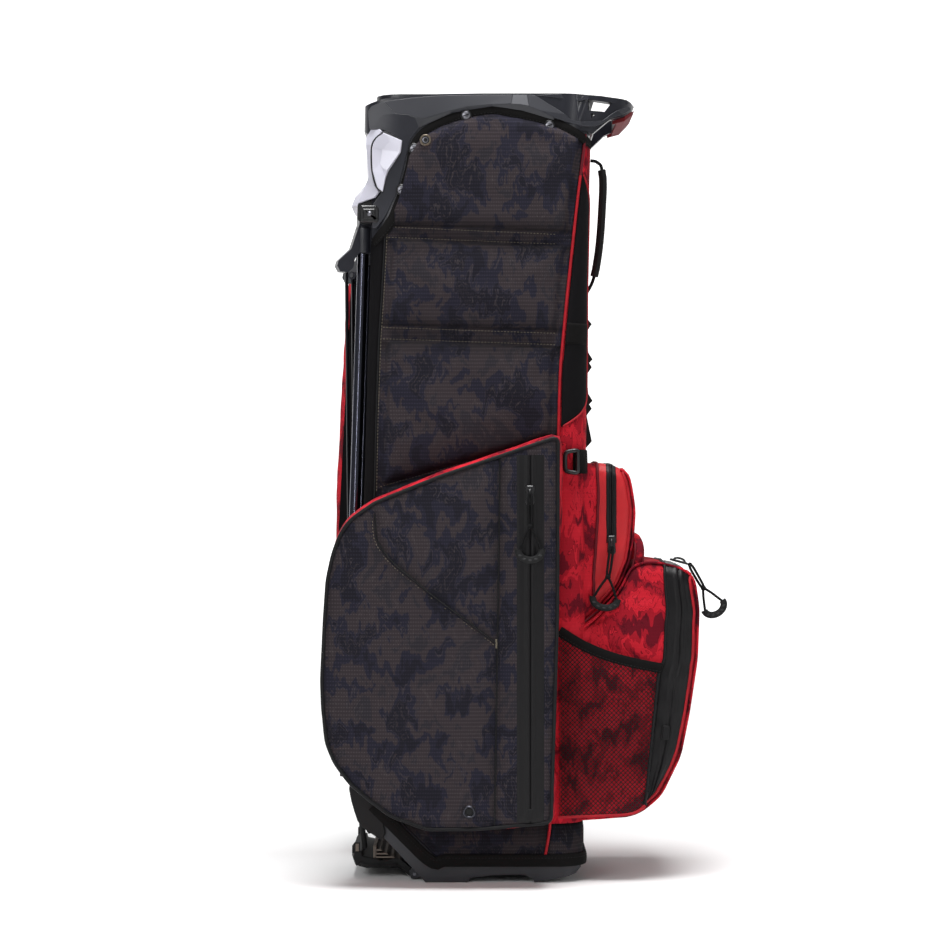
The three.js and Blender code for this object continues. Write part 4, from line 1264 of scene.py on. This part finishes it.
def bellows(name, outline, half, roll, wrinkle, seed, swell=4):
    """A stuffed pocket: two side faces that round over into a belt, all one skin with soft wrinkles."""
    rim = cut_corners(outline, 9)
    flat, triangles = filled(rim, CLOTH_PITCH)
    edge = edge_distance(flat, rim)
    points, faces = [], []

    def soft(x, y, z, share):
        lump = ripple(x + y * 0.4, z + y * 0.3, 24, seed)
        return share * wrinkle * (lump + 0.6 * ripple(x * 1.3, z * 0.8 + y * 0.5, 11, seed + 3))
    for side in (-1, 1):
        first = len(points)
        for (x, z), away in zip(flat, edge):
            out = half - roll * (1 - float(rise(away, roll * 1.4))) + swell * float(rise(away - 4, 50)) - 1
            free = float(rise(away, 12)) * float(rise(x - WING_X, 20))
            points.append((x, side * (out + wing(x, half) + soft(x, side * half, z, free)), z))
        faces += [tuple(first + k for k in f) for f in triangles]
    belt = [tuple(p) for p in even_path(rim, CLOTH_PITCH, closed=True)]
    faces += ring_faces(BELT_ROWS + 1, len(belt), len(points))
    for across in (i / BELT_ROWS for i in range(BELT_ROWS + 1)):
        share = max(0.0, math.cos((across - 0.5) * math.pi))
        for x, z in grown(belt, swell * 0.3 * share):
            y = mix(-1, 1, across) * (half - roll - 1 + wing(x, half))
            give = soft(x, y, z, share * float(rise(x - WING_X, 40)))
            points.append((x + give, y, z + give * 0.6))
    return piece(name, points, faces, RED_CAMO, crease=70)


def over_the_top(near, half, top_z):
    """A line up the left side, across the top and down the right side."""
    rising = [(x, -half, z) for x, z in near]
    across = [(near[-1][0], y, top_z) for y in np.linspace(-half + 10, half - 10, 12)]
    falling = [(x, half, z) for x, z in reversed(near)]
    return rising + across + falling


# The lines on the rear pockets' sides between which the bands with the zips lie.
VALUABLES_SEAM = [(131, 305), (130, 339), (133, 387), (136, 434), (135, 462)]
VALUABLES_EDGE = [(135, 308), (158, 334), (169, 360), (173.5, 387), (175.5, 418), (172, 445), (166, 461)]
BALL_SEAM = [(189, 84), (196, 154), (204, 235), (210, 250), (213.5, 307), (211, 345)]
BALL_EDGE = [(190, 84), (204, 98), (219, 124), (228, 150), (236.5, 188), (245, 250), (247, 306), (242, 338)]


REAR_SHADE = (0.45, 6)    # how dark the painted shade along the rear pockets' edges is, and how far it reaches


def add_valuables_pocket():
    valuables = bellows("valuables_pocket_body", VALUABLES_POCKET, VALUABLES_HALF, 8, 1.4, 1)
    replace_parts(valuables, "valuables_pocket")
    tree = surface(valuables)
    seam = over_the_top(VALUABLES_SEAM, VALUABLES_HALF, 470)
    edge = over_the_top(VALUABLES_EDGE, VALUABLES_HALF, 464)
    draped("valuables_coated_band", seam, edge, tree, 16, flat_band(0.7, 0.05), RED_COATED)
    zip_lines = [over_the_top([(x, 381), (x, 462)], VALUABLES_HALF, 470) for x in (145, 157)]
    band = draped("valuables_zip_band", *zip_lines, tree, 30, lambda share: 0.8 + zip_band(0.6, 1.0)(share),
                  BLACK_COATED)
    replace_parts(band, "valuables_zip")
    # painted shade along the valuables pocket's edges
    shade_creases(valuables, lambda flat: edge_distance(flat, VALUABLES_POCKET), *REAR_SHADE)
    for word, line in (("seam", seam), ("edge", edge)):
        path, _ = resting(even_path(line, 3), tree, 0.9)
        tube(f"valuables_{word}_piping", path[::2], 1.7, RED_PIPING if word == "edge" else DARK_RED_PIPING)
    add_pocket_border("valuables", VALUABLES_POCKET, VALUABLES_HALF, 6)


def add_ball_pocket():
    ball = bellows("ball_pocket_body", BALL_POCKET, BALL_HALF, 9, 1.3, 6)
    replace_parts(ball, "ball_pocket")
    tree = surface(ball)
    seam, edge = over_the_top(BALL_SEAM, BALL_HALF, 357), over_the_top(BALL_EDGE, BALL_HALF, 347)
    band = draped("ball_zip_band", seam, edge, tree, 44, lambda share: 0.3 + zip_band(0.8, 1.0)(share),
                  BLACK_COATED)
    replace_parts(band, "ball_zip")
    for word, line, material in (("seam", seam, BLACK_PIPING), ("edge", edge, RED_PIPING)):
        path, _ = resting(even_path(line, 3), tree, 0.8)
        tube(f"ball_{word}_piping", path[::2], 1.8, material)
    place = framed((212, -BALL_HALF - 4.2, 167), (-0.1, 0, -1), (0, -1, 0))
    stop = cut_corners([(-4, -8), (4, -8), (4, 8), (-4, 8)], 2)
    plate("ball_zip_stop", stop, [(0, -1.5), (0, 1.2), (-0.8, 1.7)], place, BLACK_COATED)
    # painted shade along the ball pocket's edges
    shade_creases(ball, lambda flat: edge_distance(flat, BALL_POCKET), *REAR_SHADE)
    add_pocket_border("ball", BALL_POCKET, BALL_HALF, 7)


def add_pocket_border(word, outline, half, roll):
    """Piping round each side face of a rear pocket, where it meets the belt."""
    rim = cut_corners(outline, 9)
    open_rim = [(x, z) for x, z in rim if x > WING_X + 3 and not (word == "valuables" and z > 466)]
    for side, hand in SIDES:
        line = [(x, side * (half - roll), z) for x, z in open_rim]
        gaps = [(Vector(b) - Vector(a)).length for a, b in zip(line, line[1:])]
        cut = max(range(len(gaps)), key=lambda k: gaps[k])
        if gaps[cut] > 60:
            line = line[cut + 1:] + line[:cut + 1]
        wide = [(x, y + side * wing(x, half), z) for x, y, z in line]
        tube(f"{word}_border_{hand}", wide, 1.4, RED_CAMO, step=6)


FOLD = [(93, 265), (112, 278), (134, 294), (156, 312), (173, 334), (181, 354), (183, 372)]
FOLD_TOP = 384            # where the fold crosses the bag, above its highest point at the side


def add_pocket_web():
    """Welt of cloth that closes the fold between the two rear pockets, with a seam on both sides of it."""
    for name, shift_x, shift_z, half, radius, material in (
        ("pocket_web", 0, 0, 72, 6, RED_CAMO),
        # the two seams are real; their darker red is painted shade of the grooves along them
        ("pocket_web_seam_in", -4.5, 4.5, 76.5, 1.1, DARK_RED_PIPING),
        ("pocket_web_seam_out", 4.5, -3.5, 76.5, 1.1, DARK_RED_PIPING),
    ):
        near = [(x + shift_x, half + wing(x + shift_x, half + 2), z + shift_z) for x, z in FOLD]
        near.append((near[-1][0] - 2, 50, FOLD_TOP))
        line = [(x, -y, z) for x, y, z in near] + near[::-1]
        tube(name, line, radius, material, step=5, sides=12)


def add_rear_pulls():
    slider("valuables", framed((151, -VALUABLES_HALF - 5.4, 379), (0, 0, -1), (0, -1, 0)))
    pull("valuables", framed((151, -90.4, 376), (-0.13, 0, -1), (0, -1, 0)), 70, 14)
    slider("ball", framed((229, -61, 359.5), (0.97, 0, -0.26), (0.26, 0, 0.97)))
    pull("ball", framed((241.4, -61, 356.2), (0.5, 0, -0.866), (0, -1, 0)), 66, 12)


# ---------------------------------------------------------------- net pouch
POUCH_TOP = [(91, 286), (115, 271), (142, 259), (169, 251), (207, 243)]
POUCH_OUTLINE = POUCH_TOP + [(204, 232), (196, 154), (189, 86), (172, 76), (90.5, 73)]
NET_PITCH = 5.2
NET_CENTRE = (145, 175)


def pouch_y(x, z):
    """The pouch stands away from the pocket in its middle and lies close at its edges."""
    side = along_table([(90, 110), (130, 106.5), (207, 99)], x)
    return -(side + 1.5 * math.sin(max(0, min(1, (x - 90) / 110)) * math.pi) + 1.0 * ripple(x, z, 40, 12))


def add_pouch():
    """A net of diamond cells inside the pouch's outline, with its elastic, stitching and bindings."""
    def knot(a, b):
        return (a + b) * NET_PITCH / 2 + NET_CENTRE[0], (a - b) * NET_PITCH / 2 + NET_CENTRE[1]
    points, faces = {}, []
    cells = [(i, j) for i in range(-70, 80) for j in range(-70, 80)]
    centres = [knot(i + 0.5, j + 0.5) for i, j in cells]
    kept = inside(centres, POUCH_OUTLINE) & (edge_distance(centres, POUCH_OUTLINE) > 1)
    for (i, j), keep in zip(cells, kept):
        if not keep:
            continue
        cell = []
        for a, b in ((i, j), (i + 1, j), (i + 1, j + 1), (i, j + 1)):
            x, z = knot(a, b)
            points.setdefault((a, b), (len(points), (x, pouch_y(x, z), z)))
            cell.append(points[(a, b)][0])
        faces.append(tuple(cell))
    knots = [p for _, p in sorted(points.values())]
    net = piece("net_pouch", knots, faces, BLACK_PIPING, crease=80, open_sheet=True)
    wires = net.modifiers.new("Net", "WIREFRAME")
    wires.thickness = 1.4 * MM
    wires.use_even_offset = False
    area_of(POUCH_OUTLINE) * MM * MM
    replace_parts(net, "mesh_pocket")
    line = smooth_path([(x, pouch_y(x, z), z - 3) for x, z in POUCH_TOP], 4)
    swept("pouch_elastic", line, Vector((0, -1, 0)), band_section(11.5, 1.6, 0.6, 1.0), TAPE)
    row = [p + Vector((0, -1.8, -3.6)) for p in line]
    stitched("pouch_elastic_stitch", row, [Vector((0, -1, 0))] * len(row), BLACK_PIPING)
    foot = [(x, pouch_y(x, z), z) for x, z in ((90, 74), (130, 75), (172, 77), (188, 86))]
    tube("pouch_foot_piping", foot, 1.7, RED_PIPING)
    back = [(x, pouch_y(x, z) + 0.5, z) for x, z in ((205, 240), (203, 230), (195, 154), (188, 86))]
    tube("pouch_side_binding", back, 1.6, BLACK_PIPING)


# ---------------------------------------------------------------- hub, legs and toe
EAR = [(-133, 741.5), (-113, 741.5), (-111.5, 744), (-111.5, 757), (-114.5, 760.5), (-131, 760.5),
       (-133, 757)]
CHEEK_CORNERS = {
    "n": [(-126, 838, -6), (-116, 853, -1), (-108.5, 843.5, 3.4), (-113, 836.5, 3.0), (-118.6, 829, 2.2),
          (-119.8, 809, 2.0), (-119, 791, 2.0), (-116.5, 782.5, 2.2), (-112, 776, 2.4),
          (-117, 769.5, 1.6), (-136, 764, -10), (-127, 785, -9), (-123, 793, -7), (-126.5, 829, -7)],
}
CHEEK_FACETS = "n1 n2 n3 n4, n1 n4 n5 n14, n14 n5 n6 n7 n13, n13 n7 n8 n12, n12 n8 n9 n10 n11"
PIN_HEAD = [(2.9, -1), (2.9, 0.5), (2.2, 1.5), (1.1, 2.2), (0, 2.4)]


def add_hub():
    """The hub, its ears with the pins' heads, and the front cover's turned-in edges."""
    carry("leg_hub", BLACK, 1.0)
    for side, word in SIDES:
        place = side_place(side, COLLAR_HALF)
        ear = plate(f"hub_ear_{word}", EAR, [(-0.8, -13), (0, -12.2), (0, 1.4), (-1.2, 2.6)], place, BLACK)
        plate(f"hub_ear_rim_{word}", grown(EAR, -4), [(0, 2), (0, 3.2), (-0.8, 3.8)], place, BLACK)
        turned(f"pin_head_{word}", place(-121.8, 751, 3.6), (0, side, 0), PIN_HEAD, STEEL)
        cheek = faceted(f"front_cover_cheek_{word}", CHEEK_CORNERS, CHEEK_FACETS, side, side, WHITE, 3)


def leg_point(x, y, z, side):
    """A point of a leg hinge's own frame, in the bag's frame."""
    c, s = math.cos(SPLAY), math.sin(SPLAY)
    return Vector((LEG_PIN[0] + x * c - y * s, side * (LEG_Y - x * s - y * c), LEG_PIN[1] + z))


def add_leg_details():
    """Moulded shoulders on the sleeves, and the rubber boots at the feet of the push rods."""
    for side, word in SIDES:
        top, low = leg_point(0, 0, -15.5, side), leg_point(-0.8, 0, -44.5, side)
        length = (low - top).length
        profile = [(8.2, 0), (9.2, 1), (9.2, length - 2), (8.5, length)]
        sleeve = turned(f"leg_sleeve_barrel_{word}", top, low - top, profile, COLLAR_DARK, f"leg_{word}", 24)
        boot = [(-132.6, side * 67, 63), (-130.8, side * 67, 48), (-129.1, side * 67, 33)]
        tube(f"push_rod_boot_{word}", boot, 3.2, RUBBER, f"rod_{word}")


TOE_GUARD = [(-118, 54), (-131, 63), (-135.5, 70), (-139, 80), (-142.5, 92), (-145, 105), (-144, 114),
             (-136, 119), (-117, 102), (-108, 80), (-104, 55), (-108, 48)]
TOE_GUARD_FACE = 109.5


def add_toe_guards():
    """Rubber cheeks beside the toe, that hide the push rods from the side."""
    for side, word in SIDES:
        layers = [(-1.2, -8), (0, -6.8), (0, -1.2), (-1.2, 0)]
        place = side_place(side, TOE_GUARD_FACE)
        guard = plate(f"toe_guard_{word}", TOE_GUARD, layers, place, RUBBER, crease=30)


# ---------------------------------------------------------------- trigger foot
TRAY = [(-144.5, 24), (-141, 14), (-136, 9), (-128, 7), (-92, 7), (-78, 3), (-68.4, 3.6), (-67.6, 7.5),
        (-71, 10.8), (-90, 15), (-112, 22), (-131, 26), (-132, 31), (-143, 31)]
TRAY_HALF = 78
TRAY_FLAT = 44            # the sole is flat up to here on both sides of the middle
TRAY_ROWS = [0, TRAY_FLAT, 55, 65, 72, 76.5, TRAY_HALF]
LIP = [(-143, 29), (-134.5, 29), (-134.5, 41), (-140, 41), (-143, 37)]
LIP_CAP = [(-139, 31), (-135.2, 31), (-135.2, 39.5), (-139, 39.5)]
TREAD_POST = [(-119, 21), (-115.5, 20.5), (-115.5, 37), (-119, 37.5)]
TREAD_HALF = 75
TREAD_BARS = 5
TREAD_BAR_PITCH = 4
TREAD_FOOT = 19           # Z of the lowest bar


def tray_point(x, y, z):
    """The tray's sole curves up towards its two ends."""
    share = max(0.0, (abs(y) - TRAY_FLAT) / (TRAY_HALF - TRAY_FLAT))
    if z < 14 and x < -86:
        z += 10 * share ** 1.5
    return Vector((x + (3 * share ** 2 if x < -134 else 0), y, z))


def across_tread(chamfer):
    return [(-chamfer, -TREAD_HALF - 0.5), (0, -TREAD_HALF), (0, TREAD_HALF), (-chamfer, TREAD_HALF + 0.5)]


def add_trigger_foot():
    """The rocking tray under the toe, its two lips, and the tread on it."""
    rows = [-y for y in TRAY_ROWS[:0:-1]] + TRAY_ROWS
    points = [tray_point(x, y, z) for y in rows for x, z in grown(TRAY, -1.2 if abs(y) == TRAY_HALF else 0)]
    tray = piece("trigger_tray", points, capped_faces(len(rows), len(TRAY)), RUBBER, "trigger", crease=30)
    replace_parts(bevelled(tray, 0.8, 2, 30), "trigger_foot")
    for side, word in SIDES:
        place = side_place(side, 0)
        lip = plate(f"trigger_lip_{word}", LIP, [(-0.6, 72), (0, 72.6), (0, 76.2), (-0.8, 77)], place,
                    RUBBER, "trigger")
        plate(f"trigger_lip_cap_{word}", LIP_CAP, [(0, 76), (0, 77.6), (-0.5, 78)], place, TREAD, "trigger")
    place = side_place(1, 0)
    tread = plate("trigger_tread", TREAD_POST, across_tread(0.4), place, TREAD, "trigger")
    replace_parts(tread, "trigger_foot_tread")
    for i in range(TREAD_BARS):
        z = TREAD_FOOT + TREAD_BAR_PITCH * i
        reach = -87 - (z - TREAD_FOOT) * 1.8
        bar = [(-118, z), (reach, z), (reach - 2.4, z + 1.9), (-118, z + 1.9)]
        plate(f"trigger_tread_bar_{i}", bar, across_tread(0.3), place, TREAD, "trigger")


# ---------------------------------------------------------------- strap ring, cord handle and dividers
RING = [(112, 460), (99, 462), (97.5, 466), (97.5, 480), (99, 484), (112, 486)]
RING_Y = -110.6
RING_TAB = [(108, -105.2), (111, -108), (115, -109.6), (119, -104), (121.5, -94)]     # its webbing, X and Y
RING_TAB_Z = 473


def add_strap_ring():
    """Ring for a shoulder strap, and the webbing that holds it to the seam."""
    loop = [(x, RING_Y, z) for x, z in cut_corners(RING, 4)]
    ring = tube("strap_ring_loop", loop, 2.7, BLACK, "strap_ring", closed=True, step=3)
    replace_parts(ring, "strap_ring")
    path = smooth_path([(x, y, RING_TAB_Z) for x, y in RING_TAB], 2)
    ups = [(p - Vector((109, -93, RING_TAB_Z))).normalized() for p in path]
    webbing = swept("strap_ring_webbing", path, ups, band_section(27, 1.8, 0.3), TAPE)
    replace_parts(webbing, "strap_ring_tab")


HANDLE_CORD = [(131, 824), (139, 822), (144.5, 811), (144, 760), (140, 715), (134, 685), (124.6, 667)]
HANDLE_RADIUS = 1.9


def add_handle_cord():
    """Cord of the grab handle on the spine. The padded sleeve on it is a CAD node."""
    line = smooth_path([(x, 0, z) for x, z in HANDLE_CORD], 2)
    cord = tube("handle_cord", line, HANDLE_RADIUS, CORD, "grab_handle", step=2)
    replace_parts(cord, "grab_cord")


DIVIDER_LOW, DIVIDER_HIGH = 20.5, 860
LONG_DIVIDER = [(-44, DIVIDER_LOW), (106, DIVIDER_LOW), (113, DIVIDER_HIGH), (-107, DIVIDER_HIGH),
                (-110, 715), (-126, 112), (-118, 78)]


def cross_divider(sign):
    near, far = sign * 1.6, sign * 98
    return [(near, DIVIDER_LOW), (far, DIVIDER_LOW), (far, DIVIDER_HIGH), (near, DIVIDER_HIGH)]


def add_dividers():
    """Full-length cloth dividers, hung between the foam bars and the floor of the bag."""
    for name, outline, place in (
        ("long_divider", LONG_DIVIDER, lambda x, z, off: (x, off, z)),
        ("cross_divider_left", cross_divider(-1), lambda y, z, off: (3 + off, y, z)),
        ("cross_divider_right", cross_divider(1), lambda y, z, off: (3 + off, y, z)),
    ):
        flat, faces = filled(outline, 14)
        points = [place(u, z, 3 * ripple(u, z * 0.3, 45, 2) * float(rise(862 - z, 120))) for u, z in flat]
        cloth = piece(f"{name}_cloth", points, faces, PLAIN, crease=80, open_sheet=True)
        width = (max(u for u, _ in outline) - min(u for u, _ in outline)) * MM
        area_of(outline) * MM * MM
        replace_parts(cloth, name)


# ---------------------------------------------------------------- carried parts
def add_carried_parts():
    for names, material, bevel in (
        (("base_cup",), BASE, 1.2),
        (("floor_pad",), FOAM, 0.6),
        (("spine_stay_left", "spine_stay_right", "leg_side_stay_left", "leg_side_stay_right"), BLACK, 0.3),
        (("leg_sleeve_left", "leg_sleeve_right"), COLLAR_DARK, 0.6),
        (("front_cover",), WHITE, 0.8),
        (("leg_pin_left", "leg_pin_right", "trigger_foot_pin"), STEEL, 0.2),
        (("push_rod_left", "push_rod_right"), DARK_STEEL, 0.2),
        (("leg_tube_left", "leg_tube_right"), TUBE, 0.3),
        (("leg_foot_left", "leg_foot_right", "strap_guide", "grab_sleeve"), RUBBER, 0.6),
    ):
        for name in names:
            carry(name, material, bevel)


# ---------------------------------------------------------------- stage
FLOOR_BACK = 7000         # the floor turns up into the backdrop behind here
FLOOR_TURN = 1500
FLOOR_HALF = 12000


def add_stage():
    profile = [(-9000, 0), (FLOOR_BACK, 0)]
    for t in np.linspace(0.1, math.pi / 2, 16):
        profile.append((FLOOR_BACK + FLOOR_TURN * math.sin(t), FLOOR_TURN - FLOOR_TURN * math.cos(t)))
    profile.append((FLOOR_BACK + FLOOR_TURN, 9000))
    points = [(x, y, z) for x in (-FLOOR_HALF, FLOOR_HALF) for y, z in profile]
    size = len(profile)
    faces = [(k, k + 1, size + k + 1, size + k) for k in range(size - 1)]
    piece("floor", points, faces, backdrop(), crease=80)
    world = bpy.data.worlds.new("studio")
    bpy.context.scene.world = world
    world.use_nodes = True
    world.node_tree.nodes["Background"].inputs["Color"].default_value = (1, 1, 1, 1)
    world.node_tree.nodes["Background"].inputs["Strength"].default_value = 0.15
    for name, place, width, height, energy in (      # places and sizes in metres, energy in watts
        ("top", (0.05, -0.35, 2.6), 1.2, 1.2, 96),
        ("key", (-1.6, -2.5, 1.7), 1.1, 1.1, 27),
        ("left_strip", (-0.85, -3.1, 0.6), 0.1, 1.7, 9),
        ("right_strip", (2.1, -2.0, 0.7), 0.35, 1.7, 9),
    ):
        data = bpy.data.lights.new(name, "AREA")
        data.shape, data.size, data.size_y, data.energy = "RECTANGLE", width, height, energy
        lamp = bpy.data.objects.new(name, data)
        lamp.location = place
        aim = Vector((0, 0, 0.45)) - Vector(place)
        lamp.rotation_euler = aim.to_track_quat("-Z", "Y").to_euler()
        bpy.context.scene.collection.objects.link(lamp)


CAMERA_PLACE = (-0.0035, -3.0, 0.458)     # metres
CAMERA_LENS = 97.6


def add_camera():
    data = bpy.data.cameras.new("camera")
    data.sensor_width = 36
    data.lens = CAMERA_LENS
    camera = bpy.data.objects.new("camera", data)
    camera.location = CAMERA_PLACE
    camera.rotation_euler = (math.pi / 2, 0, 0)
    bpy.context.scene.collection.objects.link(camera)
    bpy.context.scene.camera = camera
    bpy.context.scene.view_settings.view_transform = "Standard"


add_camera()
add_stage()
add_body()
add_collar()
add_side_pockets()
add_valuables_pocket()
add_ball_pocket()
add_pocket_web()
add_rear_pulls()
add_pouch()
add_hub()
add_leg_details()
add_toe_guards()
add_trigger_foot()
add_strap_ring()
add_handle_cord()
add_dividers()
add_carried_parts()
